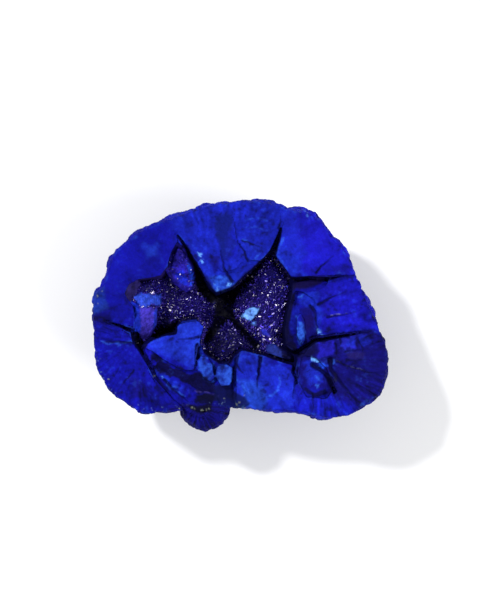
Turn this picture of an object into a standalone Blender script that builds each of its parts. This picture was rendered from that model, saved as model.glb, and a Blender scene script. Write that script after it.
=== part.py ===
"""Half of a hollow azurite nodule, broken open, lying on its rounded back.

The stone body is one solid: a lobed rind, a broken face split into blocks at
slightly different levels, shrinkage cracks and a star-shaped hollow. A thin
crust of pointed crystals lines the hollow.

Run it with: blender --background --python part.py
"""

import math
import random

import bmesh
import bpy
from mathutils import Matrix, Vector
from mathutils.geometry import delaunay_2d_cdt

# All sizes here are millimetres. X runs along the broken face, Y across it, and
# Z up from the surface that the stone lies on.
MM = 0.001
HEIGHT = 15.0  # the highest block of the broken face
WIDEST_AT = 12.4  # where the rind bulges out furthest
FOOT_SHARE = 0.34  # the flat foot, as a share of the outline
RIND_POWER = 2.3  # roundness of the back: 2 is an ellipse
FACE_RIM_SHARE = 0.965  # the broken face, as a share of the outline
SEED = 11

# The outline at its widest, anticlockwise from the right-hand end.
OUTLINE = [
    (18.0, -5.4), (17.0, -2.6), (15.9, 0.4), (14.5, 3.3), (13.5, 6.2),
    (11.5, 9.2), (9.2, 12.0), (5.9, 12.8), (3.0, 13.5), (0.6, 13.9),
    (-2.8, 13.3), (-6.6, 12.3), (-10.2, 10.9), (-13.2, 9.2), (-15.5, 6.8),
    (-16.6, 3.9), (-17.7, 1.6), (-18.0, -0.8), (-17.4, -4.4), (-17.2, -6.8),
    (-15.8, -9.3), (-13.9, -10.6), (-11.8, -11.9), (-9.6, -11.8),
    (-7.0, -11.7), (-4.0, -11.4), (-1.0, -11.1), (2.2, -11.8), (6.1, -11.8),
    (9.4, -12.5), (13.2, -12.1), (15.9, -10.6), (17.5, -8.1),
]  # fmt: skip

# Places on the outline and levels down the rind where the loft has points.
AROUND = 92
RIM_LEVELS = (HEIGHT, 14.6, 13.7, WIDEST_AT)
BACK_LEVELS = 12

# Rounded lobes that the rind is grown from.
LOBE_SPACING = 4.0
LOBE_RADIUS = (2.8, 4.4)
LOBE_RISE = 1.2
LOBE_SINK = 0.6  # share of the rise by which the gaps between lobes are sunk
LOBES_FULL_BELOW = 10.0
LOBES_AT_FACE = 0.22  # how strong the lobes still are where the face begins
LOBES_STAY_ABOVE = 0.12  # only the foot itself touches what the stone lies on

# Small round buds grown on the rind: centre, radius, and the level where the
# bud is broken off flat, or None where it is whole.
BUDS = {
    "lower_bud": ((-4.3, -11.1, 10.8), (3.15, 3.1, 3.5), 12.9),
    "left_bud": ((-16.1, -0.2, 10.4), (1.9, 2.2, 2.6), None),
    "lower_left_bud": ((-11.9, -8.9, 8.4), (3.0, 2.9, 3.4), None),
    "upper_right_bud": ((9.2, 6.9, 7.8), (3.0, 3.0, 4.2), None),
}

# The broken face's blocks: corners, how far the block's middle lies below
# HEIGHT, and how much its plane rises per millimetre along X and Y. Each block
# is grown by BLOCK_OVERLAP, so that no sliver stands between two of them.
BLOCK_OVERLAP = 0.1
BLOCKS = {
    "upper_left": (
        [(-19, 8.2), (-14.4, 16), (-9.0, 16), (-7.5, 8.8), (-8.3, 5.7),
         (-9.3, 4.2), (-12.2, 3.7), (-13.3, 2.5), (-13.0, 1.4),
         (-12.4, 0.4), (-12.4, -2.1), (-16.3, -1.1), (-19, -0.5)],
        0.5, 0.04, -0.01,
    ),
    "upper_middle": (
        [(-9.2, 15.8), (6.6, 15.8), (4.7, 10.2), (2.9, 6.2), (-1.9, 2.2),
         (-3.2, 2.2), (-5.2, 4.7), (-7.5, 8.8)],
        0.5, 0.01, 0.03,
    ),
    "middle_tip": (
        [(-5.4, 6.5), (-3.4, 6.1), (-2.2, 4.9), (-0.6, 5.2), (0.6, 6.4),
         (2.6, 6.2), (-1.8, 2.0), (-3.3, 2.0), (-5.4, 4.7)],
        1.3, -0.04, 0.26,
    ),
    "upper_right": (
        [(6.4, 15.8), (19.7, 15.8), (19.7, 5.3), (12.7, 4.2), (6.2, 3.7),
         (3.5, 7.2), (4.7, 10.2)],
        0.35, -0.03, -0.02,
    ),
    "right": (
        [(12.6, 4.3), (19.7, 5.4), (19.7, -2.1), (15.7, -2.1), (8.5, -2.9),
         (7.5, -4.6), (5.2, -3.4), (5.0, -2.0), (5.4, 0.3), (5.8, 2.2),
         (6.0, 4.2)],
        0.7, 0.08, 0.02,
    ),
    "right_corner": (
        [(5.9, 4.3), (10.6, 4.2), (10.0, 3.2), (8.6, 2.6), (5.8, 2.5)],
        1.2, 0.04, -0.5,
    ),
    "right_scoop": (
        [(6.6, 2.6), (7.5, 2.5), (8.5, 1.8), (9.3, 0.1), (9.4, -1.7),
         (8.9, -2.9), (7.6, -4.8), (5.2, -3.4), (5.6, 0.2)],
        1.9, 0.4, 0.05,
    ),
    "lower_right": (
        [(15.5, -2.0), (19.7, -2.0), (19.7, -13.9), (6.8, -13.9),
         (6.6, -7.0), (6.2, -4.6), (8.5, -2.8)],
        0.6, 0.02, 0.02,
    ),
    "lower_right_pit": (
        [(7.4, -5.1), (9.0, -5.4), (10.2, -6.6), (11.2, -8.7), (10.3, -10.1),
         (7.9, -9.9), (7.0, -8.0)],
        1.3, -0.16, 0.08,
    ),
    "lower_middle": (
        [(-0.2, -3.9), (6.9, -6.0), (6.8, -13.9), (-0.5, -13.9),
         (-1.0, -7.7), (-0.9, -5.1)],
        0.6, 0.02, 0.04,
    ),
    "lower_gap": (
        [(-5.0, -4.0), (-0.6, -4.8), (-0.6, -11.8), (-3.4, -11.8),
         (-3.3, -8.6), (-5.4, -6.4)],
        1.75, 0.0, 0.04,
    ),
    "left_wedge": (
        [(-11.5, -4.2), (-10.8, -3.0), (-9.0, -2.0), (-7.2, -0.8),
         (-5.2, -0.4), (-4.2, -1.5), (-4.6, -3.5), (-5.3, -5.4),
         (-5.4, -7.0), (-7.2, -6.9), (-9.4, -5.6), (-10.6, -4.7)],
        0.5, 0.01, 0.02,
    ),
    "dark_ledge": (
        [(-11.8, -4.0), (-10.6, -4.6), (-9.4, -5.5), (-7.2, -6.8),
         (-5.3, -6.9), (-3.9, -7.7), (-3.2, -8.3), (-2.8, -9.8),
         (-5.1, -9.5), (-7.6, -7.8), (-10.1, -6.7)],
        1.7, 0.26, 0.5,
    ),
    "low_shelf": (
        [(-11.2, -6.0), (-10.1, -6.5), (-7.6, -7.6), (-5.1, -9.3),
         (-2.8, -9.7), (-2.4, -12.9), (-6.0, -12.3), (-8.7, -9.5),
         (-10.3, -7.7)],
        2.2, 0.05, 0.12,
    ),
    "lower_left": (
        [(-19.1, -0.9), (-16.3, -1.0), (-12.4, -1.8), (-12.2, -3.6),
         (-11.2, -5.4), (-10.5, -7.2), (-8.7, -9.6), (-5.9, -12.0),
         (-5.9, -15.7), (-19.1, -15.7)],
        1.35, 0.08, 0.15,
    ),
}  # fmt: skip

# Small knobs with flat tops, two in the gap at the hollow's lower edge and one
# in the scoop at its right: corners, and how far the top lies below HEIGHT.
KNOB_FOOT = 11.2
KNOB_LEAN = 0.08
KNOBS = {
    "left_knob": (
        [(-4.8, -5.0), (-3.9, -5.1), (-3.3, -6.1), (-3.1, -7.7), (-3.5, -8.3),
         (-4.5, -7.8), (-5.4, -6.6), (-5.2, -5.6)],
        0.85,
    ),
    "right_knob": (
        [(-2.8, -6.3), (-1.6, -6.0), (-0.9, -6.5), (-0.9, -7.8), (-1.3, -8.7),
         (-2.4, -8.8), (-3.0, -7.7), (-3.0, -6.9)],
        0.8,
    ),
    "scoop_knob": (
        [(6.7, -0.5), (7.2, 0.2), (7.8, -1.0), (7.8, -3.2), (7.3, -4.0),
         (6.7, -2.6)],
        1.1,
    ),
}  # fmt: skip

# Cracks: points from the narrow end to the wide one, the width at each of these
# ends, and the depth at the wide end.
CRACK_FOOT_WIDTH = 0.08
CRACK_START_DEPTH = 0.45  # at the narrow end, as a share of the depth
CRACKS = {
    "upper_left_arm": ([(-7.6, 9.5), (-6.3, 7.4), (-4.8, 4.4), (-3.2, 1.4)], 0.3, 1.5, 7.2),
    "upper_right_arm": ([(5.0, 11.0), (4.4, 8.8), (3.4, 6.4)], 0.15, 1.2, 5.0),
    "right_upper_arm": ([(12.4, 4.4), (10.2, 4.2), (8.1, 4.2), (6.2, 4.0)], 0.15, 0.8, 3.6),
    "right_lower_arm": ([(15.6, -2.1), (12.2, -2.7), (8.9, -3.2), (7.6, -4.1), (6.4, -4.9)], 0.2, 1.2, 4.6),
    "bottom_arm": ([(6.5, -10.2), (6.8, -8.0), (6.3, -7.0), (6.6, -5.4)], 0.15, 0.7, 2.8),
    "left_arm": ([(-16.4, -0.9), (-14.6, -1.4), (-13.0, -2.1), (-12.5, -3.6)], 0.2, 1.0, 2.8),
    "lower_left_arm": ([(-7.4, -10.5), (-10.2, -7.7), (-11.4, -5.1), (-12.5, -3.2)], 0.3, 1.1, 3.8),
    "left_rim": ([(-17.8, -3.2), (-15.0, -3.8), (-12.2, -3.9)], 0.1, 0.3, 1.2),
    "knob_gap": ([(-0.7, -10.3), (-0.8, -7.6), (-0.6, -4.7)], 0.2, 0.45, 2.0),
    "wedge_gap": ([(-5.5, -7.0), (-5.3, -5.4), (-4.6, -3.4)], 0.3, 0.3, 2.0),
    "wedge_crack": ([(-7.6, -3.0), (-5.9, -2.9), (-4.5, -2.7)], 0.1, 0.3, 1.4),
    "tip_crack": ([(-3.1, 9.0), (-2.5, 6.6), (-1.9, 4.9), (-1.1, 3.4)], 0.1, 0.25, 1.7),
    "upper_crack": ([(-1.2, 11.9), (-0.7, 9.7), (0.1, 7.7), (1.0, 6.0)], 0.1, 0.2, 1.1),
    "lower_crack": ([(1.9, -9.0), (2.2, -7.2), (2.3, -4.8)], 0.1, 0.3, 1.4),
    "fan_steep": ([(8.8, -6.0), (9.6, -6.9), (10.4, -7.7), (11.0, -8.7), (11.4, -9.6)], 0.2, 0.8, 2.6),
    "fan_middle": ([(14.0, -10.9), (12.4, -8.8), (11.3, -6.7), (10.7, -5.5)], 0.1, 0.35, 1.7),
    "fan_flat": ([(17.0, -8.1), (15.7, -7.4), (13.2, -6.3), (11.7, -5.8)], 0.1, 0.2, 1.1),
    "bud_slit": ([(-6.2, -11.4), (-4.9, -11.9), (-3.7, -11.7)], 0.4, 0.4, 5.4),
}  # fmt: skip

# The star-shaped hollow: its outline on the face, clockwise from its left end.
HOLLOW = [
    (-13.9, 2.3), (-13.4, 3.5), (-12.2, 4.1), (-9.6, 4.5), (-8.7, 5.7),
    (-8.4, 7.1), (-7.6, 8.6), (-6.0, 7.2), (-4.6, 5.1), (-3.7, 3.2),
    (-2.9, 2.5), (-1.0, 3.2), (1.2, 5.3), (2.6, 6.6), (3.7, 7.6),
    (4.9, 6.0), (6.3, 4.1), (6.1, 2.2), (5.7, 0.2), (5.3, -2.0),
    (5.5, -3.9), (6.7, -4.8), (6.7, -6.3), (5.1, -5.9), (2.6, -5.0),
    (0.2, -4.4), (-0.7, -5.1), (-1.2, -6.0), (-2.6, -6.0), (-4.3, -4.8),
    (-4.9, -3.5), (-4.4, -1.6), (-5.3, -0.7), (-7.0, -0.9), (-7.6, -1.6),
    (-7.6, -2.5), (-9.0, -2.7), (-10.8, -3.4), (-11.5, -4.1), (-12.7, -3.4),
    (-12.7, -0.5), (-12.9, 0.9),
]  # fmt: skip

# The floor of the hollow is a set of tiles with gaps between them: corners, how
# far the tile's middle lies below HEIGHT, and its rise along X and Y.
TILES = {
    "left_floor": (
        [(-9.6, 3.8), (-8.9, 4.4), (-7.9, 4.3), (-6.5, 3.3), (-5.0, 1.9),
         (-4.6, 0.5), (-4.9, -0.9), (-6.5, -1.0), (-8.5, -1.7), (-9.7, -1.2)],
        6.5, -0.06, -0.03,
    ),
    "left_shelf": (
        [(-12.3, 0.8), (-10.3, 0.8), (-10.4, -1.0), (-11.2, -2.8),
         (-12.1, -2.5)],
        3.4, -0.35, 0.2,
    ),
    "left_end": (
        [(-13.3, 2.3), (-12.9, 3.1), (-12.0, 3.5), (-10.2, 3.8), (-10.2, 1.4),
         (-12.5, 1.4)],
        3.4, -0.4, 0.1,
    ),
    "arm_floor": (
        [(-8.4, 5.6), (-8.1, 6.9), (-7.6, 7.9), (-6.9, 7.1), (-6.1, 5.9),
         (-5.9, 5.0), (-6.6, 4.7), (-8.0, 4.9)],
        2.8, 0.1, 0.5,
    ),
    "right_floor": (
        [(-0.9, 1.3), (2.1, 4.2), (3.7, 6.3), (5.6, 3.9), (5.3, 1.6),
         (4.7, -1.8), (3.6, -2.9), (0.7, -0.7)],
        6.4, 0.05, -0.02,
    ),
    "lower_floor": (
        [(-3.4, -1.7), (-1.4, -1.6), (0.4, -2.9), (2.3, -4.3), (0.1, -3.8),
         (-1.0, -4.9), (-1.5, -5.4), (-2.5, -5.4), (-3.8, -4.5), (-4.3, -3.4)],
        5.4, 0.05, -0.2,
    ),
    "corner_floor": (
        [(2.9, -4.4), (3.4, -4.0), (4.9, -4.1), (6.1, -5.2), (6.1, -5.6),
         (5.2, -5.3)],
        3.8, 0.1, -0.2,
    ),
}  # fmt: skip
TILE_SIDE_SLOPE = 2.6  # fall per millimetre outside a tile's edge
HOLLOW_DEPTH = 8.8
WALL_INSET = 0.4  # the wall leans in by this much on its way to the floor
WALL_TOP_DROP = 2.0  # where the wall starts to lean, below HEIGHT
FLOOR_PITCH = 0.74  # between the points of the floor
FLOOR_SCATTER = 0.18
LEAST_PITCH = 0.36

# The crust of crystals.
CRUST_GAP = 0.3
CRUST_THICKNESS = 0.6
CRYSTAL_RISE = (0.15, 0.6)
CRYSTAL_LEAN = 0.5  # share of the way from a facet's middle to one corner
SHEER = 0.35  # a facet whose normal's Z is under this is a bare wall

CUTTER_TOP = HEIGHT + 3.0
TOUCHING = 0.001  # two places nearer than this are the same
CURVE_STEPS = 24  # between two points of the outline, before it is read evenly
LONGEST_MITRE = 2.0  # how far a sharp corner may move, as a multiple of its edges' move
STONE_BLUE = (0.012, 0.012, 0.33, 1.0)
CRYSTAL_VIOLET = (0.02, 0.013, 0.13, 1.0)


def clear_scene():
    for obj in list(bpy.data.objects):
        bpy.data.objects.remove(obj)


def smooth_outline(points, count):
    """A closed Catmull-Rom curve through the points, read at even steps along it."""
    fine = []
    n = len(points)
    for i in range(n):
        p0, p1, p2, p3 = (Vector(points[(i + k) % n]) for k in (-1, 0, 1, 2))
        for s in range(CURVE_STEPS):
            t = s / CURVE_STEPS
            fine.append(
                0.5
                * (
                    2 * p1
                    + (p2 - p0) * t
                    + (2 * p0 - 5 * p1 + 4 * p2 - p3) * t**2
                    + (3 * p1 - p0 - 3 * p2 + p3) * t**3
                )
            )
    lengths = [0.0]
    for i, point in enumerate(fine):
        lengths.append(lengths[-1] + (fine[(i + 1) % len(fine)] - point).length)
    even, at = [], 0
    for k in range(count):
        wanted = lengths[-1] * k / count
        while lengths[at + 1] < wanted:
            at += 1
        share = (wanted - lengths[at]) / (lengths[at + 1] - lengths[at])
        even.append(fine[at].lerp(fine[(at + 1) % len(fine)], share))
    return even


def area_and_middle(corners):
    """The signed area of a polygon and its centroid."""
    area, middle = 0.0, Vector((0.0, 0.0))
    for i, corner in enumerate(corners):
        a, b = Vector(corner), Vector(corners[(i + 1) % len(corners)])
        cross = a.x * b.y - b.x * a.y
        area += cross / 2
        middle += (a + b) * cross
    return area, middle / (6 * area)


def inside(point, corners):
    """Whether a point lies inside a polygon."""
    found = False
    for i, corner in enumerate(corners):
        (ax, ay), (bx, by) = corner, corners[(i + 1) % len(corners)]
        if (ay > point[1]) != (by > point[1]):
            cross = (bx - ax) * (point[1] - ay) / (by - ay) + ax
            found ^= point[0] < cross
    return found


def distance_to_edges(point, corners):
    """The shortest way from a point to a polygon's edges."""
    spot, nearest = Vector(point), math.inf
    for i, corner in enumerate(corners):
        a, b = Vector(corner), Vector(corners[(i + 1) % len(corners)])
        along = b - a
        share = max(0.0, min(1.0, (spot - a).dot(along) / along.length_squared))
        nearest = min(nearest, (spot - a - along * share).length)
    return nearest


def inset_corners(corners, inset):
    """Each corner of a polygon moved inwards, for its two edges to move by inset."""
    turn = 1 if area_and_middle(corners)[0] > 0 else -1
    moved = []
    for i, corner in enumerate(corners):
        before, here, after = (
            Vector(p) for p in (corners[i - 1], corner, corners[(i + 1) % len(corners)])
        )
        first = (here - before).orthogonal().normalized() * turn
        second = (after - here).orthogonal().normalized() * turn
        half = (first + second).normalized()
        moved.append(here + half * inset * min(LONGEST_MITRE, 1.0 / half.dot(first)))
    return moved


def divided(corners, pitch):
    """A polygon with its edges divided into pieces no longer than pitch."""
    ring = []
    for i, corner in enumerate(corners):
        a, b = Vector(corner), Vector(corners[(i + 1) % len(corners)])
        pieces = math.ceil((b - a).length / pitch)
        ring += [a.lerp(b, k / pieces) for k in range(pieces)]
    return ring


def plane_level(corners, drop, rise_x, rise_y, spot):
    """The level of a block's or tile's plane above the foot, at a place."""
    middle = area_and_middle(corners)[1]
    return HEIGHT - drop + (spot[0] - middle.x) * rise_x + (spot[1] - middle.y) * rise_y


def new_object(name, bm, material=None):
    """An object from a mesh made in millimetres."""
    bmesh.ops.recalc_face_normals(bm, faces=bm.faces)
    bmesh.ops.scale(bm, vec=(MM, MM, MM), verts=bm.verts)
    mesh = bpy.data.meshes.new(name)
    bm.to_mesh(mesh)
    bm.free()
    obj = bpy.data.objects.new(name, mesh)
    if material:
        mesh.materials.append(material)
    bpy.context.scene.collection.objects.link(obj)
    return obj


def stone_material(name, colour, roughness):
    material = bpy.data.materials.new(name)
    material.use_nodes = True
    shader = material.node_tree.nodes["Principled BSDF"]
    shader.inputs["Base Color"].default_value = colour
    shader.inputs["Roughness"].default_value = roughness
    shader.inputs["Metallic"].default_value = 0.0
    return material


def prism(bottom, top):
    """A closed solid between two rings of the same number of points."""
    bm = bmesh.new()
    low = [bm.verts.new(p) for p in bottom]
    high = [bm.verts.new(p) for p in top]
    for i in range(len(low)):
        j = (i + 1) % len(low)
        bm.faces.new((low[i], low[j], high[j], high[i]))
    bm.faces.new(high)
    bm.faces.new(reversed(low))
    return bm


def rind_rings():
    """Rings of points from the broken face down to the flat foot."""
    outline = smooth_outline(OUTLINE, AROUND)
    middle = area_and_middle(OUTLINE)[1]
    levels = []
    for z in RIM_LEVELS:
        rise = (z - WIDEST_AT) / (HEIGHT - WIDEST_AT)
        levels.append((z, 1.0 - (1.0 - FACE_RIM_SHARE) * rise**2))
    for step in range(1, BACK_LEVELS + 1):
        sweep = math.pi / 2 * step / BACK_LEVELS
        z = WIDEST_AT * (1.0 - math.sin(sweep))
        share = math.cos(sweep) ** (2 / RIND_POWER)
        levels.append((z, FOOT_SHARE + (1.0 - FOOT_SHARE) * share))
    return [
        [(*(middle + (point - middle) * share), z) for point in outline]
        for z, share in levels
    ]


def lobe_centres(spots, rng):
    """Places on the rind, at least LOBE_SPACING apart, in random order."""
    rng.shuffle(spots)
    chosen = []
    for spot in spots:
        if all((spot - other).length > LOBE_SPACING for other in chosen):
            chosen.append(spot)
    return [(spot, rng.uniform(*LOBE_RADIUS)) for spot in chosen]


def carve_lobes(bm, rng):
    """Raises round lobes on the plain rind, and sinks what lies between them."""
    bm.normal_update()
    rind = [v for v in bm.verts if TOUCHING < v.co.z < HEIGHT - TOUCHING]
    lobes = lobe_centres([v.co.copy() for v in rind], rng)
    moves = {}
    for vert in rind:
        rise = 0.0
        for centre, radius in lobes:
            away = (vert.co - centre).length
            if away < radius:
                cap = math.sqrt(radius**2 - away**2) - (radius - LOBE_RISE)
                rise = max(rise, cap)
        fade = (HEIGHT - vert.co.z) / (HEIGHT - LOBES_FULL_BELOW)
        strength = min(1.0, LOBES_AT_FACE + (1.0 - LOBES_AT_FACE) * fade**2)
        moves[vert] = vert.normal * (rise - LOBE_RISE * LOBE_SINK) * strength
    for vert, move in moves.items():
        vert.co += move
        vert.co.z = max(vert.co.z, LOBES_STAY_ABOVE)


def make_rind(rng):
    """The whole nodule half before it is cut: rings joined from face to foot."""
    bm = bmesh.new()
    rings = [[bm.verts.new(p) for p in ring] for ring in rind_rings()]
    for upper, lower in zip(rings, rings[1:]):
        for i in range(AROUND):
            j = (i + 1) % AROUND
            bm.faces.new((upper[i], lower[i], lower[j], upper[j]))
    bm.faces.new(rings[0])
    bm.faces.new(reversed(rings[-1]))
    bmesh.ops.recalc_face_normals(bm, faces=bm.faces)
    carve_lobes(bm, rng)
    return bm


def ball(centre, radii, cut_at=None):
    """A faceted ellipsoid, cut off flat at a level if one is given."""
    bm = bmesh.new()
    bmesh.ops.create_icosphere(bm, subdivisions=2, radius=1.0)
    bmesh.ops.transform(
        bm,
        matrix=Matrix.Translation(centre) @ Matrix.Diagonal((*radii, 1.0)),
        verts=bm.verts,
    )
    if cut_at is not None:
        bmesh.ops.bisect_plane(
            bm,
            geom=[*bm.verts, *bm.edges, *bm.faces],
            plane_co=(0, 0, cut_at),
            plane_no=(0, 0, 1),
            clear_outer=True,
        )
        bmesh.ops.holes_fill(bm, edges=[e for e in bm.edges if e.is_boundary])
    return bm


def block_cutter(corners, drop, rise_x, rise_y):
    """What is broken away above one block of the face."""
    grown = inset_corners(corners, -BLOCK_OVERLAP)
    low = [(*c, plane_level(corners, drop, rise_x, rise_y, c)) for c in grown]
    return prism(low, [(*c, CUTTER_TOP) for c in grown])


def knob(corners, drop):
    """A lump with leaning sides and a flat broken top."""
    top = inset_corners(corners, KNOB_LEAN)
    return prism([(*c, KNOB_FOOT) for c in corners], [(*c, HEIGHT - drop) for c in top])


def crack_cutter(points, start_width, end_width, depth):
    """A wedge along a line, which narrows from the face down to its foot."""
    spots = [Vector(p) for p in points]
    last = len(spots) - 1
    left, right, left_low, right_low = [], [], [], []
    for i, spot in enumerate(spots):
        along = (spots[min(i + 1, last)] - spots[max(i - 1, 0)]).normalized()
        side = along.orthogonal()
        width = start_width + (end_width - start_width) * i / last
        share = CRACK_START_DEPTH + (1.0 - CRACK_START_DEPTH) * i / last
        deep = HEIGHT - depth * share
        # The wedge keeps its slope above the face, up to the cutter's top.
        flare = width * (CUTTER_TOP - deep) / (HEIGHT - deep)
        left.append((*(spot + side * flare / 2), CUTTER_TOP))
        right.append((*(spot - side * flare / 2), CUTTER_TOP))
        left_low.append((*(spot + side * CRACK_FOOT_WIDTH / 2), deep))
        right_low.append((*(spot - side * CRACK_FOOT_WIDTH / 2), deep))
    return prism(left_low + right_low[::-1], left + right[::-1])


def floor_level(spot):
    """The bare floor of the hollow: the tiles' tops, and steep gaps between them."""
    level = HEIGHT - HOLLOW_DEPTH
    for corners, drop, rise_x, rise_y in TILES.values():
        outside = 0.0 if inside(spot, corners) else distance_to_edges(spot, corners)
        top = plane_level(corners, drop, rise_x, rise_y, spot)
        level = max(level, top - outside * TILE_SIDE_SLOPE)
    return level


def scattered_spots(rings, wall_foot, rng):
    """Places inside the hollow, in rows about FLOOR_PITCH apart and off every ring."""
    xs, ys = [p[0] for p in HOLLOW], [p[1] for p in HOLLOW]
    row_pitch = FLOOR_PITCH * math.sqrt(3) / 2
    spots = []
    for row in range(math.ceil((max(ys) - min(ys)) / row_pitch)):
        for column in range(math.ceil((max(xs) - min(xs)) / FLOOR_PITCH)):
            x = min(xs) + (column + (row % 2) / 2) * FLOOR_PITCH
            y = min(ys) + row * row_pitch
            x += rng.uniform(-FLOOR_SCATTER, FLOOR_SCATTER)
            y += rng.uniform(-FLOOR_SCATTER, FLOOR_SCATTER)
            near = min(distance_to_edges((x, y), ring) for ring in rings)
            if inside((x, y), wall_foot) and near > LEAST_PITCH:
                spots.append(Vector((x, y)))
    return spots


def floor_sheet(rng):
    """Points and triangles of the floor, and which triangles the crust covers."""
    wall_foot = inset_corners(HOLLOW, WALL_INSET)
    rings = [HOLLOW, divided(wall_foot, FLOOR_PITCH)]
    rings += [divided(tile[0], FLOOR_PITCH) for tile in TILES.values()]
    spots, edges = [], []
    for ring in rings:
        start = len(spots)
        spots += [Vector(p) for p in ring]
        edges += [(start + i, start + (i + 1) % len(ring)) for i in range(len(ring))]
    spots += scattered_spots(rings, wall_foot, rng)
    # The third list keeps only the triangles inside the first ring, the hollow.
    whole = [list(range(len(HOLLOW)))]
    flat, _, triangles, _, _, _ = delaunay_2d_cdt(spots, edges, whole, 1, TOUCHING / 10)
    points, covered = [], []
    for spot in flat:
        on_wall = distance_to_edges(spot, HOLLOW) < TOUCHING
        points.append((*spot, HEIGHT - WALL_TOP_DROP if on_wall else floor_level(spot)))
    for triangle in triangles:
        middle = sum((flat[i] for i in triangle), Vector((0, 0))) / 3
        covered.append(inside(middle, wall_foot))
    return points, triangles, covered


def slab(points, triangles, low_shift, high):
    """A closed solid between a sheet moved up by low_shift and a higher sheet.

    high gives the upper level of a point. Returns the mesh and its upper faces.
    """
    bm = bmesh.new()
    used = sorted({i for triangle in triangles for i in triangle})
    low = {i: bm.verts.new(Vector(points[i]) + Vector((0, 0, low_shift))) for i in used}
    top = {i: bm.verts.new((*points[i][:2], high(points[i]))) for i in used}
    upper, edges = [], []
    for triangle in triangles:
        upper.append(bm.faces.new([top[i] for i in triangle]))
        bm.faces.new([low[i] for i in reversed(triangle)])
        edges += [(triangle[k], triangle[(k + 1) % 3]) for k in range(3)]
    shared = set(edges)
    for a, b in edges:
        if (b, a) not in shared:
            bm.faces.new((low[a], low[b], top[b], top[a]))
    return bm, upper


def make_crust(sheet, rng, material):
    """The crust: a sheet over the floor with a pointed crystal on each facet."""
    points, triangles, covered = sheet
    kept = [t for t, inner in zip(triangles, covered) if inner]
    shift = CRUST_GAP + CRUST_THICKNESS
    bm, upper = slab(points, kept, CRUST_GAP, lambda p: p[2] + shift)
    bm.normal_update()
    for facet in [f for f in upper if abs(f.normal.z) > SHEER]:
        corner = rng.choice(facet.verts).co.copy()
        tip = bmesh.ops.poke(bm, faces=[facet])["verts"][0]
        tip.co = tip.co.lerp(corner, rng.uniform(0.0, CRYSTAL_LEAN))
        tip.co.z += rng.uniform(*CRYSTAL_RISE)
    return new_object("crystal_crust", bm, material)


def add_boolean(body, name, operation, cutters):
    """One Boolean for a named collection of cutters or of added shapes."""
    group = bpy.data.collections.new(name)
    bpy.context.scene.collection.children.link(group)
    for label, bm in cutters.items():
        tool = new_object(label, bm)
        bpy.context.scene.collection.objects.unlink(tool)
        group.objects.link(tool)
        tool.display_type = "WIRE"
        tool.hide_render = True
    modifier = body.modifiers.new(name, "BOOLEAN")
    modifier.operation = operation
    modifier.operand_type = "COLLECTION"
    modifier.collection = group
    modifier.solver = "EXACT"


def make_nodule(sheet, rng, material):
    body = new_object("nodule", make_rind(rng), material)
    points, triangles, _ = sheet
    hollow, _ = slab(points, triangles, 0.0, lambda p: CUTTER_TOP)
    add_boolean(body, "buds", "UNION", {n: ball(*b) for n, b in BUDS.items()})
    broken = {n: block_cutter(*b) for n, b in BLOCKS.items()}
    add_boolean(body, "broken_face", "DIFFERENCE", broken)
    add_boolean(body, "knobs", "UNION", {n: knob(*k) for n, k in KNOBS.items()})
    opened = {n: crack_cutter(*c) for n, c in CRACKS.items()}
    opened["hollow"] = hollow
    add_boolean(body, "openings", "DIFFERENCE", opened)
    return body


def main():
    clear_scene()
    stone = stone_material("azurite", STONE_BLUE, 0.6)
    crystal = stone_material("azurite_crystal", CRYSTAL_VIOLET, 0.25)
    sheet = floor_sheet(random.Random(SEED))
    make_nodule(sheet, random.Random(SEED), stone)
    make_crust(sheet, random.Random(SEED), crystal)


main()
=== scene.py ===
"""Half of a hollow azurite nodule on a pale floor: blue stone, and a sparkling druse."""

import math

import bpy
import numpy as np
from mathutils import Matrix, Quaternion, Vector, noise


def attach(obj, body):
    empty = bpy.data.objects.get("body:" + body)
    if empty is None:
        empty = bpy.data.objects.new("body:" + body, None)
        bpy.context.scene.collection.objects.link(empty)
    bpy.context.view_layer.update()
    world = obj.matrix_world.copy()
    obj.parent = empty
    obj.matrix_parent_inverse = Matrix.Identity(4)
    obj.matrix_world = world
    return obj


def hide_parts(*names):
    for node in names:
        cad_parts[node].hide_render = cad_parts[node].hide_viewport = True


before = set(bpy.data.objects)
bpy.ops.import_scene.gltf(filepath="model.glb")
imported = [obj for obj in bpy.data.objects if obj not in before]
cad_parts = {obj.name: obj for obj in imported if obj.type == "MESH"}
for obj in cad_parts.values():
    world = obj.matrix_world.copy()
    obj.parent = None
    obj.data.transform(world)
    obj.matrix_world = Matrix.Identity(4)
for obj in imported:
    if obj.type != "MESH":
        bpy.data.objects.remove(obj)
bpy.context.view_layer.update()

bpy.ops.object.select_all(action="DESELECT")

# ---------------------------------------------------------------------------
# The stone. A nodule of massive azurite that grew in clay as a cluster of round
# lobes of fine fibres, and then shrank and cracked from the middle. It is broken
# through: the face is hackly and matt, and the rind behind it knobbly and dull.
# All lengths in the lists are millimetres, seen from straight above the face.

MM = 0.001
STONE_VOXEL = 0.13
STONE_SEED = Vector((3.1, 7.7, 1.3))
# Relief of the break: slow swells, steps, fibres in the middle and what they gain
# at the rim, and grain. Then relief of the rind: its lobes' sizes with their heights.
SWELL, STEP, FIBRE, RIM_FIBRE, GRAIN = 0.14, 0.055, 0.04, 0.06, 0.045
RIND_LOBES = [(1.05, 0.30), (0.5, 0.12)]
RIND_SINK, RIND_SWELL, RIND_GRAIN = 0.24, 0.10, 0.03
WALL_GRAIN = 0.05
# How far in from the outline the fibres still show strongly: from, to.
RIM_BAND = (1.0, 5.0)
# Shares of the triangles that stay deep in the cracks and on the rind.
DEEP_SHARE, RIND_SHARE = 0.06, 0.17
# Levels over the foot: what lies under the druse, deep down, and low on the rind.
BURIED_BELOW, DEEP_BELOW, LOW_RIND = 12.2, 10.8, 12.6

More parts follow.
